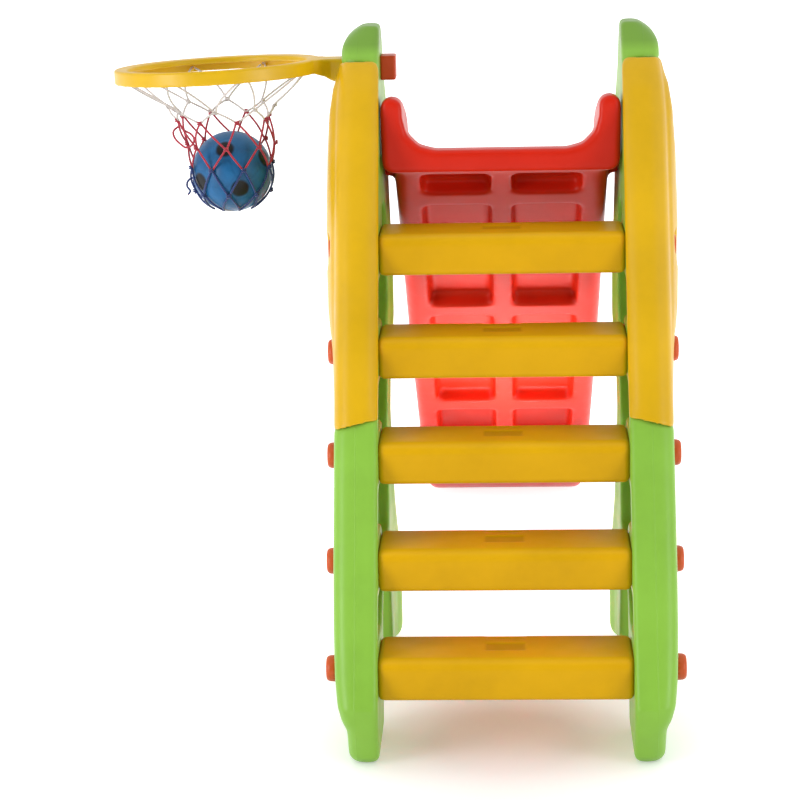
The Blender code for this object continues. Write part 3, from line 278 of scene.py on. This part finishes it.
def node(material, kind, inputs=None, **settings):
    """Add a shader node, set its properties, and link or set its inputs."""
    made = material.node_tree.nodes.new(kind)
    for name, value in settings.items():
        setattr(made, name, value)
    for key, value in (inputs or {}).items():
        if isinstance(value, bpy.types.NodeSocket):
            material.node_tree.links.new(value, made.inputs[key])
        else:
            made.inputs[key].default_value = value
    return made


def noise(material, scale, detail=2.0, rough=0.5):
    place = node(material, "ShaderNodeTexCoord")
    made = node(material, "ShaderNodeTexNoise", {"Vector": place.outputs["Object"], "Scale": scale,
                                                 "Detail": detail, "Roughness": rough})
    return made.outputs[0]


def spread(material, value, low, high, first=0.3, last=0.7):
    made = node(material, "ShaderNodeMapRange", {"Value": value, "From Min": first, "From Max": last,
                                                 "To Min": low, "To Max": high})
    return made.outputs[0]


def math_node(material, operation, first, second=0.0):
    return node(material, "ShaderNodeMath", {0: first, 1: second}, operation=operation).outputs[0]


def object_axes(material):
    """X, Y and Z of a point in its object."""
    place = node(material, "ShaderNodeTexCoord")
    return node(material, "ShaderNodeSeparateXYZ", {0: place.outputs["Object"]}).outputs


def mixed(material, factor, first, second):
    made = node(material, "ShaderNodeMix", {"Factor": factor, 6: first, 7: second}, data_type="RGBA")
    return made.outputs[2]


def shaded(colour, share):
    return tuple(channel * share for channel in colour[:3]) + (1.0,)


def moulded_plastic(name, colour, roughness=0.34, grain=0.00010, ripple=0.00025, parting=None, shade=0.86,
                    gloss=0.35, painted_shade_above=None, recess_shaded=False):
    """Blow-moulded or injected plastic: cloudy colour, fine grain, slow ripples and a parting line; painted
    shade above a given height and in a sunk mark, where asked.
    """
    material, shader = new_material(name)
    cloud = spread(material, noise(material, CLOUD_SCALE, 4.0), 0.0, 1.0)
    speck = spread(material, noise(material, SPECK_SCALE, 3.0, 0.6), 0.0, 1.0)
    tone = mixed(material, cloud, shaded(colour, shade), colour)
    tone = mixed(material, math_node(material, "MULTIPLY", speck, 0.10), tone, shaded(colour, 1.18))
    # Darker above a height: painted shade on the tops of the caps
    if painted_shade_above is not None:
        height = object_axes(material)[2]
        tone = mixed(material, spread(material, height, 0.0, 1.0, painted_shade_above, painted_shade_above + CAP_PAINTED_SHADE_FADE), tone,
                     shaded(colour, CAP_PAINTED_SHADE))
    # The sunk mark is darkened: painted shade
    if recess_shaded:
        recess_shade = node(material, "ShaderNodeAttribute", attribute_name="recess_shade")
        tone = mixed(material, math_node(material, "MULTIPLY", recess_shade.outputs["Fac"], RECESS_SHADE_STRENGTH), tone,
                     shaded(colour, RECESS_PAINTED_SHADE))
    material.node_tree.links.new(tone, shader.inputs["Base Color"])
    matte = spread(material, noise(material, MATTE_SCALE, 3.0), roughness - 0.04, roughness + 0.07)
    material.node_tree.links.new(matte, shader.inputs["Roughness"])
    height = math_node(material, "MULTIPLY", noise(material, GRAIN_SCALE, 1.0), grain)
    waves = math_node(material, "MULTIPLY", noise(material, RIPPLE_SCALE, 1.0), ripple)
    height = math_node(material, "ADD", height, waves)
    if parting is not None:
        away = math_node(material, "ABSOLUTE", object_axes(material)[0])
        away = math_node(material, "ABSOLUTE", math_node(material, "SUBTRACT", away, parting))
        line = spread(material, away, PARTING_RISE, 0.0, PARTING_EDGE, PARTING_FADE)
        height = math_node(material, "ADD", height, line)
    bump = node(material, "ShaderNodeBump", {"Height": height, "Strength": 0.8, "Distance": 1.0})
    material.node_tree.links.new(bump.outputs[0], shader.inputs["Normal"])
    shader.inputs["IOR"].default_value = PLASTIC_IOR
    shader.inputs["Specular IOR Level"].default_value = gloss
    return material


def cord_material(name, colour, dark):
    """Twisted nylon cord: painted shade in the grooves between its twisted strands, with fuzz and uneven
    dye.
    """
    material, shader = new_material(name)
    cloud = spread(material, noise(material, 120.0, 3.0), 0.0, 1.0)
    fibre = spread(material, noise(material, 2600.0, 2.0), 0.0, 1.0)
    tone = mixed(material, math_node(material, "MULTIPLY", cloud, 0.7), colour, dark)
    tone = mixed(material, math_node(material, "MULTIPLY", fibre, 0.25), tone, shaded(colour, 1.25))
    # Darker between the strands: painted shade
    strand = node(material, "ShaderNodeAttribute", attribute_name="painted_groove_shade")
    tone = mixed(material, strand.outputs["Fac"], tone, dark)
    material.node_tree.links.new(tone, shader.inputs["Base Color"])
    shader.inputs["Roughness"].default_value = 0.68
    shader.inputs["Sheen Weight"].default_value = 0.35
    shader.inputs["Sheen Roughness"].default_value = 0.5
    bump = node(material, "ShaderNodeBump", {"Height": fibre, "Strength": 0.35, "Distance": 0.0002})
    material.node_tree.links.new(bump.outputs[0], shader.inputs["Normal"])
    return material


def ball_material(colour, dark):
    """Inflated vinyl with soft dark spots, faint clouds, a fine leathery grain, and painted shade along its
    seams.
    """
    material, shader = new_material("ball_vinyl")
    cloud = spread(material, noise(material, 30.0, 3.0), 0.0, 1.0)
    tone = mixed(material, cloud, shaded(colour, 0.66), shaded(colour, 1.16))
    # Darker along the seam grooves: painted shade
    painted_groove_shade = node(material, "ShaderNodeAttribute", attribute_name="painted_groove_shade")
    seam = math_node(material, "MULTIPLY", painted_groove_shade.outputs["Fac"], 0.35)
    tone = mixed(material, seam, tone, shaded(colour, 0.5))
    spot = node(material, "ShaderNodeAttribute", attribute_name="spot")
    edge = math_node(material, "MULTIPLY", noise(material, 90.0, 3.0), 0.16)
    patch = node(material, "ShaderNodeMapRange", {
        "Value": math_node(material, "ADD", spot.outputs["Fac"], edge), "From Min": 0.36, "From Max": 0.88},
        interpolation_type="SMOOTHSTEP")
    tone = mixed(material, patch.outputs[0], tone, dark)
    material.node_tree.links.new(tone, shader.inputs["Base Color"])
    matte = spread(material, noise(material, 60.0, 2.0), 0.30, 0.42)
    shader.inputs["Specular IOR Level"].default_value = 0.26
    material.node_tree.links.new(matte, shader.inputs["Roughness"])
    grain = node(material, "ShaderNodeTexVoronoi", {
        "Vector": node(material, "ShaderNodeTexCoord").outputs["Object"], "Scale": 900.0})
    bump = node(material, "ShaderNodeBump", {"Height": grain.outputs["Distance"], "Strength": 0.30,
                                             "Distance": 0.0004})
    material.node_tree.links.new(bump.outputs[0], shader.inputs["Normal"])
    return material


# Its caps get painted shade above z = 1.068
GREEN = moulded_plastic("green_moulded", linear(142, 196, 68), 0.36, parting=0.236, gloss=0.32, painted_shade_above=1.068)
YELLOW = moulded_plastic("yellow_moulded", linear(232, 185, 13), 0.33)
SHELL_YELLOW = moulded_plastic("shell_moulded", linear(226, 178, 8), 0.32, gloss=0.32)
STEP_YELLOW = moulded_plastic("step_moulded", linear(224, 171, 11), 0.36, gloss=0.14, recess_shaded=True)
RED = moulded_plastic("red_moulded", linear(219, 40, 18), 0.32, gloss=0.20)
ORANGE = moulded_plastic("orange_moulded", linear(214, 88, 30), 0.38, ripple=0.00008)
RUST = moulded_plastic("rust_moulded", linear(200, 70, 20), 0.40, ripple=0.00008)
WHITE_CORD = cord_material("white_twine", linear(236, 230, 226), linear(186, 178, 174))
RED_CORD = cord_material("red_twine", linear(206, 34, 66), linear(140, 18, 42))
BLUE_CORD = cord_material("blue_twine", linear(28, 66, 142), linear(12, 30, 80))
BALL_SKIN = ball_material(linear(34, 104, 158), linear(10, 12, 16))


# Piece helpers

def finish_piece(item, body, nodes):
    """Put a piece on its body in place of its CAD nodes."""
    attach(item, body)
    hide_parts(*nodes)
    return item


def object_of(name, mesh, material):
    item = bpy.data.objects.new(name, mesh)
    bpy.context.scene.collection.objects.link(item)
    mesh.materials.clear()
    mesh.materials.append(material)
    mesh.shade_smooth()
    return item


def mesh_of(name, shape):
    mesh = bpy.data.meshes.new(name)
    bmesh.ops.recalc_face_normals(shape, faces=shape.faces)
    shape.to_mesh(mesh)
    shape.free()
    return mesh


def applied(item):
    """Bake an object's modifiers into its mesh."""
    bpy.context.view_layer.update()
    graph = bpy.context.evaluated_depsgraph_get()
    mesh = bpy.data.meshes.new_from_object(item.evaluated_get(graph))
    item.modifiers.clear()
    item.data = mesh
    mesh.shade_smooth()
    return item


def welded_copy(name):
    """Copy of a CAD node's mesh with its shared corners joined."""
    shape = bmesh.new()
    shape.from_mesh(NODES[name].data)
    bmesh.ops.remove_doubles(shape, verts=shape.verts, dist=0.00001)
    return mesh_of(name + "_moulded", shape)


def add_curl(mesh):
    """Roll a shell's inner front edge over the panel's rim and back along the inner face."""
    edge = CURL_FROM + CURL_EDGE
    front = {}
    for vertex in mesh.vertices:
        if abs(abs(vertex.co.x) - edge) < EDGE_NEAR:
            level = round(vertex.co.z, 4)
            front[level] = min(front.get(level, vertex.co.y), vertex.co.y)
    side = 1 if mesh.vertices[0].co.x > 0 else -1
    known = sorted(front)
    top = known[-1]
    levels = []
    for low, high in zip(known, known[1:]):
        steps = max(1, round((high - low) / CURL_STEP))
        for step in range(steps):
            level = low + (high - low) * step / steps
            front[level] = front[low] + (front[high] - front[low]) * step / steps
            levels.append(level)
    levels.append(top)
    shape = bmesh.new()
    shape.from_mesh(mesh)
    rows = []
    for level in levels:
        rise = min(1.0, (top - level) / CURL_CORNER)
        inner = CURL_TO + (CURL_FROM - CURL_TO) * (1.0 - math.sqrt(1.0 - (1.0 - rise) ** 2))
        face = front[level] - CURL_PROUD * rise
        outline = [(edge + CURL_EDGE, face + CURL_TUCK), (edge, face)]
        for turn in (0, 18, 36, 54, 72, 90):
            angle = math.radians(turn)
            outline.append((inner + CURL_ROUND * (1 - math.sin(angle)),
                            face + CURL_ROUND * (1 - math.cos(angle))))
        outline += [(inner, face + CURL_BACK), (edge + CURL_EDGE, face + CURL_BACK)]
        rows.append([shape.verts.new((side * x, y, level)) for x, y in outline])
    for lower, upper in zip(rows, rows[1:]):
        for index in range(len(lower)):
            after = (index + 1) % len(lower)
            shape.faces.new((lower[index], lower[after], upper[after], upper[index]))
    shape.faces.new(rows[0])
    shape.faces.new(rows[-1])
    return mesh_of(mesh.name + "_curled", shape)


def crown_front(mesh):
    """Swell a shell's front between its edges."""
    middle = (CURL_TO + OUTER) / 2
    reach = OUTER - middle
    for vertex in mesh.vertices:
        share = (abs(vertex.co.x) - middle) / reach
        if abs(share) < 1.0:
            vertex.co.y -= FRONT_CROWN * (1.0 - share ** 2)


def round_ring(mesh):
    """Take the flats off the hoop's ring."""
    place = hoop_frame()
    back = place.inverted()
    flat = 2 * math.pi / HOOP_SIDES
    for vertex in mesh.vertices:
        local = back @ vertex.co
        radius = math.hypot(local.x, local.y)
        angle = math.atan2(local.y, local.x)
        if radius < HOOP_DIAMETER * RING_REACH:
            swell = math.cos(angle % flat - flat / 2) / math.cos(flat / 2)
            vertex.co = place @ Vector((local.x * swell, local.y * swell, local.z))


def sink_grip(mesh, name):
    """Press the mark into a tread and note where it is, so that the material paints shade into it."""
    low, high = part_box(name)
    middle = (low.y + high.y) / 2 + GRIP_BACK
    # Where the painted shade of the mark goes
    recess_shade = mesh.attributes.new("recess_shade", "FLOAT", "POINT")
    for vertex in mesh.vertices:
        if vertex.co.z < high.z - TREAD_SKIN:
            continue
        inside = min(GRIP_LENGTH / 2 - abs(vertex.co.x), GRIP_WIDTH / 2 - abs(vertex.co.y - middle))
        share = min(1.0, max(0.0, inside / GRIP_EDGE))
        recess_shade.data[vertex.index].value = share
        if share:
            vertex.co.z = min(vertex.co.z, high.z - GRIP_SINK * share)


def moulded(name, material, slot, voxel, rounds):
    """Rebuild a CAD node as one even skin, with its edges softened as moulding leaves them."""
    mesh = welded_copy(name)
    if name.endswith("shell"):
        mesh = add_curl(mesh)
    item = object_of(name + "_moulded", mesh, material)
    remesh = item.modifiers.new("skin", "REMESH")
    remesh.mode = "VOXEL"
    remesh.voxel_size = voxel
    applied(item)
    if name.endswith("shell"):
        crown_front(item.data)
    if name == "hoop":
        round_ring(item.data)
    smooth = item.modifiers.new("soften", "SMOOTH")
    smooth.factor = 0.5
    smooth.iterations = rounds
    applied(item)
    if name.startswith("step"):
        sink_grip(item.data, name)
    return finish_piece(item, "slide", [name])


# Knobs

def make_knob(name):
    """Domed bolt head with a coin slot and a shallow ring, turned about its own axis."""
    low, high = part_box(name)
    side = 1 if high.x > 0 else -1
    middle = Vector((side * SEAT, (low.y + high.y) / 2, (low.z + high.z) / 2))
    tip = abs(low.x if side > 0 else high.x)
    reach = KNOB_RADIUS * KNOB_SPREAD
    profile = [(reach * share, KNOB_HEAD - drop) for share, drop in KNOB_PROFILE]
    profile += [(reach, KNOB_HEAD * 0.30), (reach, KNOB_RIM), (reach - KNOB_BEVEL, KNOB_LIFT),
                (KNOB_SHANK, KNOB_LIFT), (KNOB_SHANK, tip - SEAT + KNOB_TAPER), (KNOB_TIP, tip - SEAT),
                (0.0, tip - SEAT)]
    shape = bmesh.new()
    rows = []
    for radius, along in profile:
        count = 1 if radius == 0 else KNOB_SIDES
        row = []
        for index in range(count):
            angle = 2 * math.pi * index / KNOB_SIDES
            flute = 1.0
            if along > FLUTE_FOOT and radius > reach * 0.9:
                flute = 1.0 - KNOB_FLUTE_DEPTH * (0.5 + 0.5 * math.cos(angle * KNOB_FLUTES))
            row.append(shape.verts.new(middle + Vector((side * along, radius * flute * math.cos(angle),
                                                        radius * flute * math.sin(angle)))))
        rows.append(row)
    for upper, lower in zip(rows, rows[1:]):
        for index in range(KNOB_SIDES):
            after = (index + 1) % KNOB_SIDES
            corners = [upper[index % len(upper)], upper[after % len(upper)], lower[after % len(lower)],
                       lower[index % len(lower)]]
            shape.faces.new(list(dict.fromkeys(corners)))
    knob = object_of(name + "_head", mesh_of(name + "_head", shape), ORANGE)
    slot_shape = bmesh.new()
    face = KNOB_HEAD - KNOB_PROFILE[0][1]
    place = Matrix.Translation(middle + Vector((side * face, 0, 0)))
    size = Matrix.Diagonal((2 * SLOT_DEPTH, KNOB_SLOT * 0.8, KNOB_RADIUS * 1.1, 1.0))
    bmesh.ops.create_cube(slot_shape, size=1.0, matrix=place @ size)
    cutter = object_of(name + "_cutter", mesh_of(name + "_cutter", slot_shape), ORANGE)
    carve = knob.modifiers.new("slot", "BOOLEAN")
    carve.operation = "DIFFERENCE"
    carve.solver = "EXACT"
    carve.object = cutter
    edge = knob.modifiers.new("edge", "BEVEL")
    edge.width = KNOB_EDGE
    edge.segments = 2
    edge.limit_method = "ANGLE"
    edge.angle_limit = math.radians(50)
    applied(knob)
    knob.data.set_sharp_from_angle(angle=math.radians(45))
    bpy.data.objects.remove(cutter, do_unlink=True)
    return finish_piece(knob, "slide", [name])


# Net

def hoop_frame():
    """Matrix of the ring: its middle at the origin, its top at z = 0, sagging from the arm."""
    root = Matrix.Translation((-(OUTER + ARM_LENGTH), HOOP_Y, HOOP_TOP))
    droop = Matrix.Rotation(-math.radians(HOOP_DROOP), 4, "Y")
    tilt = Matrix.Rotation(-math.radians(HOOP_TILT), 4, "X")
    return root @ droop @ Matrix.Translation((-HOOP_DIAMETER / 2, 0, 0)) @ tilt


def ball_centre():
    foot_middle = hoop_frame() @ Vector((0, 0, -HOOP_HEIGHT))
    return foot_middle + Vector((NET_SWAY, 0, -BALL_DROP))


def hook_angle(index):
    return 2 * math.pi * (index + 0.5) / HOOK_COUNT


def net_station(row):
    """Depth below the ring's foot and radius of the net at a row, which may lie between rows."""
    reach = BALL_DIAMETER / 2 + CORD / 2 + BALL_CLEAR

    def on_ball(polar):
        return BALL_DROP - reach * math.cos(math.radians(polar)), reach * math.sin(math.radians(polar))

    hook_top = HOOK_DROP - HOOK_DIAMETER / 2 - CORD / 2 - CORD_GAP - HOOP_HEIGHT
    free = [(hook_top, HOOP_DIAMETER / 2 - HOOP_WALL - HOOK_LENGTH * 0.55)] + list(NET_ROWS)
    free.append(on_ball(BALL_ROWS[0]))
    last = len(free) - 1
    if row <= last:
        index = min(int(row), last - 1)
        share = row - index
        low, high = free[index], free[index + 1]
        return low[0] + (high[0] - low[0]) * share, low[1] + (high[1] - low[1]) * share
    index = min(int(row) - last, len(BALL_ROWS) - 2)
    share = row - last - index
    return on_ball(BALL_ROWS[index] + (BALL_ROWS[index + 1] - BALL_ROWS[index]) * share)


def net_point(row, angle, proud=0.0):
    """Point of the net at a row and an angle, following the ring's sag at the hooks.

    The sway towards the ball grows with the square of the depth here, and evenly in the solids.
    """
    depth, radius = net_station(row)
    radius += proud
    place = hoop_frame()
    level = place @ Vector((0, 0, -HOOP_HEIGHT))
    sway = max(0.0, min(1.0, depth / NET_ROWS[-1][0])) ** 2 * NET_SWAY
    hung = level + Vector((radius * math.cos(angle) + sway, radius * math.sin(angle), -depth))
    tied = place @ Vector((radius * math.cos(angle), radius * math.sin(angle), -HOOP_HEIGHT - depth))
    return tied.lerp(hung, min(1.0, max(0.0, row)))


def tier_route(tier):
    """Closed route of one cord between two rows of knots, with a little slack in its runs."""
    pitch = math.pi / HOOK_COUNT
    points = []
    for index in range(HOOK_COUNT):
        upper = hook_angle(index) + (tier % 2) * pitch
        for turn, fall in ((-KNOT_SPAN, 0.0), (KNOT_SPAN, 0.0), (1 - KNOT_SPAN, 1.0), (1 + KNOT_SPAN, 1.0)):
            points.append((turn, fall, upper))
    route = []
    for index, (turn, fall, upper) in enumerate(points):
        after = points[(index + 1) % len(points)]
        end_turn = after[0] if after[2] == upper else after[0] + 2
        free = after[1] != fall
        steps = RUN_STEPS if free else TIE_STEPS
        for step in range(steps):
            share = step / steps
            row = tier + fall + (after[1] - fall) * share
            angle = upper + (turn + (end_turn - turn) * share) * pitch
            slack = math.sin(math.pi * share) * (SLACK if free else 0.0)
            waver = math.sin(index * WAVER_RUN + tier * WAVER_TIER)
            lift = slack * (0.4 + 0.6 * abs(waver))
            drift = slack * waver * 0.9 / max(net_station(row)[1], 0.02)
            if tier >= BALL_TIER:
                lift *= BALL_LIFT
                drift *= BALL_DRIFT
            route.append(net_point(row, angle + drift, lift))
    return route


def add_rope(shape, layer, route, radius, closed=True, lay=ROPE_LAY):
    """Sweep a twisted three-strand cord along a route."""
    count = len(route)
    spans = count if closed else count - 1
    dense = []
    for index in range(spans):
        first = route[index - 1] if closed or index else route[index]
        start, end = route[index], route[(index + 1) % count]
        last = route[(index + 2) % count] if closed else route[min(index + 2, count - 1)]
        pieces = max(1, round((end - start).length / ROPE_STEP))
        for piece in range(pieces):
            t = piece / pieces
            dense.append(0.5 * (2 * start + (end - first) * t
                                + (2 * first - 5 * start + 4 * end - last) * t * t
                                + (3 * start - first - 3 * end + last) * t ** 3))
    if not closed:
        dense.append(route[-1])
    sides = ROPE_SIDES
    normal = None
    travelled = 0.0
    rings = []
    total = len(dense)
    for index, point in enumerate(dense):
        ahead = dense[(index + 1) % total] if closed else dense[min(index + 1, total - 1)]
        behind = dense[index - 1] if closed or index else dense[0]
        along = (ahead - behind).normalized()
        if normal is None:
            normal = along.orthogonal().normalized()
        normal = (normal - along * normal.dot(along)).normalized()
        across = along.cross(normal)
        if index:
            travelled += (point - dense[index - 1]).length
        twist = 2 * math.pi * travelled / lay
        ring = []
        for side in range(sides):
            angle = 2 * math.pi * side / sides
            wave = 0.5 + 0.5 * math.cos(ROPE_STRANDS * (angle - twist))
            reach = radius * (STRAND_LOW + STRAND_RISE * wave)
            vertex = shape.verts.new(point + (normal * math.cos(angle) + across * math.sin(angle)) * reach)
            # Share of painted shade: full between strands, none on their crowns
            vertex[layer] = (1.0 - wave) ** 2
            ring.append(vertex)
        rings.append(ring)
    pairs = list(zip(rings, rings[1:] + rings[:1])) if closed else list(zip(rings, rings[1:]))
    for position, (ring, after) in enumerate(pairs):
        shift = 0
        if closed and position == len(pairs) - 1:
            shift = min(range(sides), key=lambda move: (ring[0].co - after[move].co).length)
        for side in range(sides):
            following = (side + 1) % sides
            shape.faces.new((ring[side], ring[following], after[(following + shift) % sides],
                             after[(side + shift) % sides]))
    if not closed:
        shape.faces.new(rings[0][::-1])
        shape.faces.new(rings[-1])


def add_knot(shape, layer, place, outward, radius):
    """Wrap of cord that ties two runs together."""
    down = Vector((0, 0, -1))
    down = (down - outward * down.dot(outward)).normalized()
    across = outward.cross(down)
    route = []
    steps = int(KNOT_TURNS * KNOT_STEPS)
    for step in range(steps + 1):
        angle = 2 * math.pi * step / KNOT_STEPS
        rise = (step / steps - 0.5) * KNOT_TURNS * radius * KNOT_PITCH
        wrap = across * math.cos(angle) * KNOT_WIDE + outward * math.sin(angle)
        route.append(place + wrap * radius * KNOT_RADIUS + down * rise)
    add_rope(shape, layer, route, radius * KNOT_THIN, closed=False, lay=KNOT_LAY)


def make_net():
    tiers = (("net_white_upper", WHITE_CORD, "white_cord"), ("net_white_lower", WHITE_CORD, "white_cord"),
             ("net_red_upper", RED_CORD, "red_cord"), ("net_red_lower", RED_CORD, "red_cord"),
             ("net_blue_upper", BLUE_CORD, "blue_cord"), ("net_blue_lower", BLUE_CORD, "blue_cord"))
    for tier, (name, material, slot) in enumerate(tiers):
        shape = bmesh.new()
        # Where the painted shade between strands goes
        layer = shape.verts.layers.float.new("painted_groove_shade")
        add_rope(shape, layer, tier_route(tier), ROPE_RADIUS)
        for route in LOOSE_CORDS.get(name, ()):
            middle = ball_centre()
            add_rope(shape, layer, [middle + Vector(point) for point in route], ROPE_RADIUS, closed=False)
        if tier:
            for index in range(HOOK_COUNT):
                angle = hook_angle(index) + (tier % 2) * math.pi / HOOK_COUNT
                place = net_point(tier, angle, KNOT_PROUD)
                outward = Vector((math.cos(angle), math.sin(angle), 0.0))
                add_knot(shape, layer, place, outward, ROPE_RADIUS)
        item = object_of(name + "_twine", mesh_of(name + "_twine", shape), material)
        finish_piece(item, "slide", [name])


# Ball

def make_ball():
    """Vinyl football: thirty-two puffed panels with shallow seams, twelve of them dark at the middle."""
    golden = (1 + math.sqrt(5)) / 2
    corners = []
    for first in (-1, 1):
        for second in (-golden, golden):
            corners += [Vector((0, first, second)), Vector((first, second, 0)), Vector((second, 0, first))]
    corners = [corner.normalized() for corner in corners]
    faces = []
    for one in range(12):
        for two in range(one):
            for three in range(two):
                group = (corners[one], corners[two], corners[three])
                if all(group[i].dot(group[j]) > 0.4 for i, j in ((0, 1), (1, 2), (0, 2))):
                    faces.append(sum(group, Vector()).normalized())
    turn = Euler([math.radians(value) for value in BALL_TURN], "XYZ").to_matrix()
    dark = [turn @ corner for corner in corners]
    pale = [turn @ face for face in faces]
    centre = ball_centre()
    shape = bmesh.new()
    bmesh.ops.create_icosphere(shape, subdivisions=6, radius=1.0)
    spot = shape.verts.layers.float.new("spot")
    painted_groove_shade = shape.verts.layers.float.new("painted_groove_shade")
    for vertex in shape.verts:
        way = vertex.co.normalized()
        darkest = max(way.dot(axis) for axis in dark)
        reaches = sorted([darkest / DARK_REACH] + sorted(way.dot(axis) / PALE_REACH for axis in pale)[-3:])
        next_dark = sorted(way.dot(axis) for axis in dark)[-2] / DARK_REACH
        edge = reaches[-1] - max(reaches[-2], next_dark)
        seam = max(0.0, 1.0 - edge / SEAM_WIDTH)
        puff = min(1.0, edge / PUFF_WIDTH)
        vertex[spot] = min(1.0, max(0.0, (darkest - SPOT_EDGE) / SPOT_FADE))
        # The seam's share of painted shade, which also sets how deep it sinks
        vertex[painted_groove_shade] = seam
        vertex.co = centre + way * (BALL_DIAMETER / 2 - BALL_INSET - SEAM_DEPTH * seam ** 1.5
                                    + PUFF_HEIGHT * puff)
    item = object_of("ball_vinyl", mesh_of("ball_vinyl", shape), BALL_SKIN)
    finish_piece(item, "ball", ["ball"])


# Room

def seen_directly(owner):
    """1 for the rays that show the backdrop: straight from the camera, mirrored or refracted."""
    path = node(owner, "ShaderNodeLightPath")
    seen = math_node(owner, "MAXIMUM", path.outputs["Is Camera Ray"], path.outputs["Is Glossy Ray"])
    return math_node(owner, "MAXIMUM", seen, path.outputs["Is Transmission Ray"])


def make_floor():
    material, shader = new_material("floor")
    tree = material.node_tree
    mottle = spread(material, noise(material, 1.2, 2.0), 0.0, 1.0)
    tone = mixed(material, mottle, shaded(WHITE, FLOOR_WHITE), shaded(WHITE, FLOOR_WHITE + 0.02))
    tree.links.new(tone, shader.inputs["Base Color"])
    shader.inputs["Roughness"].default_value = 0.42
    shader.inputs["Specular IOR Level"].default_value = 0.35
    place = node(material, "ShaderNodeTexCoord").outputs["Object"]
    # The floor glows less near the first step than far off: painted shade round the ladder, added to its
    # cast shadow
    away = node(material, "ShaderNodeVectorMath", {0: place, 1: (0.0, PAINTED_SHADE_Y, 0.0)}, operation="DISTANCE")
    level = spread(material, away.outputs["Value"], FLOOR_GLOW, FLOOR_GLOW_FAR, PAINTED_SHADE_FROM, PAINTED_SHADE_TO)
    glow = node(material, "ShaderNodeEmission", {"Strength": level})
    added = node(material, "ShaderNodeAddShader", {0: shader.outputs[0], 1: glow.outputs[0]})
    both = node(material, "ShaderNodeMixShader", {0: seen_directly(material), 1: shader.outputs[0],
                                                  2: added.outputs[0]})
    output = next(made for made in tree.nodes if made.type == "OUTPUT_MATERIAL")
    tree.links.new(both.outputs[0], output.inputs[0])
    shape = bmesh.new()
    bmesh.ops.create_grid(shape, x_segments=1, y_segments=1, size=40.0)
    floor = object_of("floor", mesh_of("floor", shape), material)
    floor.location.z = -0.0005


def soft_step(owner, value, first, last, low, high):
    made = node(owner, "ShaderNodeMapRange", {"Value": value, "From Min": first, "From Max": last,
                                              "To Min": low, "To Max": high},
                interpolation_type="SMOOTHSTEP")
    return made.outputs[0]


def make_world():
    """White backdrop. The room is brighter overhead, and dimmer on the photograph's side."""
    world = bpy.data.worlds.new("studio")
    bpy.context.scene.world = world
    world.use_nodes = True
    world.node_tree.nodes.clear()
    way = node(world, "ShaderNodeSeparateXYZ", {0: node(world, "ShaderNodeTexCoord").outputs["Generated"]})
    front = soft_step(world, way.outputs[1], *FRONT_BAND, ROOM_FRONT, 1.0)
    above = soft_step(world, way.outputs[2], *TOP_BAND, 1.0, ROOM_TOP)
    level = math_node(world, "MULTIPLY", math_node(world, "MULTIPLY", front, above), ROOM_LIGHT)
    room = node(world, "ShaderNodeBackground", {"Color": WHITE, "Strength": level})
    white = node(world, "ShaderNodeBackground", {"Color": WHITE, "Strength": 1.0})
    mirrored = node(world, "ShaderNodeBackground", {"Color": WHITE, "Strength": front})
    path = node(world, "ShaderNodeLightPath")
    bent = math_node(world, "MAXIMUM", path.outputs["Is Glossy Ray"], path.outputs["Is Transmission Ray"])
    seen = node(world, "ShaderNodeMixShader", {0: bent, 1: room.outputs[0], 2: mirrored.outputs[0]})
    both = node(world, "ShaderNodeMixShader", {0: path.outputs["Is Camera Ray"], 1: seen.outputs[0],
                                               2: white.outputs[0]})
    node(world, "ShaderNodeOutputWorld", {0: both.outputs[0]})


def make_lamp(name, place, target, size, power, spread_angle, mirrored):
    data = bpy.data.lights.new(name, "AREA")
    data.shape = "DISK"
    data.size = size
    data.energy = power
    data.spread = math.radians(spread_angle)
    lamp = bpy.data.objects.new(name, data)
    bpy.context.scene.collection.objects.link(lamp)
    lamp.location = place
    lamp.rotation_euler = (Vector(target) - Vector(place)).to_track_quat("-Z", "Y").to_euler()
    lamp.visible_camera = False
    lamp.visible_glossy = mirrored


make_camera()
bpy.context.scene.view_settings.view_transform = "Standard"

for side in ("left", "right"):
    moulded(side + "_side_panel", GREEN, "green_plastic", *PANEL_SKIN)
    moulded(side + "_side_shell", SHELL_YELLOW, "yellow_plastic", *SHELL_SKIN)
    for count in range(1, 6):
        make_knob("step_knob_%s_%d" % (side, count))
    make_knob("chute_knob_" + side)
for count in range(1, 6):
    moulded("step_%d" % count, STEP_YELLOW, "yellow_plastic", *STEP_SKIN)
moulded("slide_chute", RED, "red_plastic", *CHUTE_SKIN)
moulded("hoop", YELLOW, "yellow_plastic", *HOOP_SKIN)
moulded("hoop_lock", RUST, "rust_plastic", *LOCK_SKIN)
make_net()
make_ball()

make_floor()
make_world()
for lamp in LAMPS:
    make_lamp(*lamp)
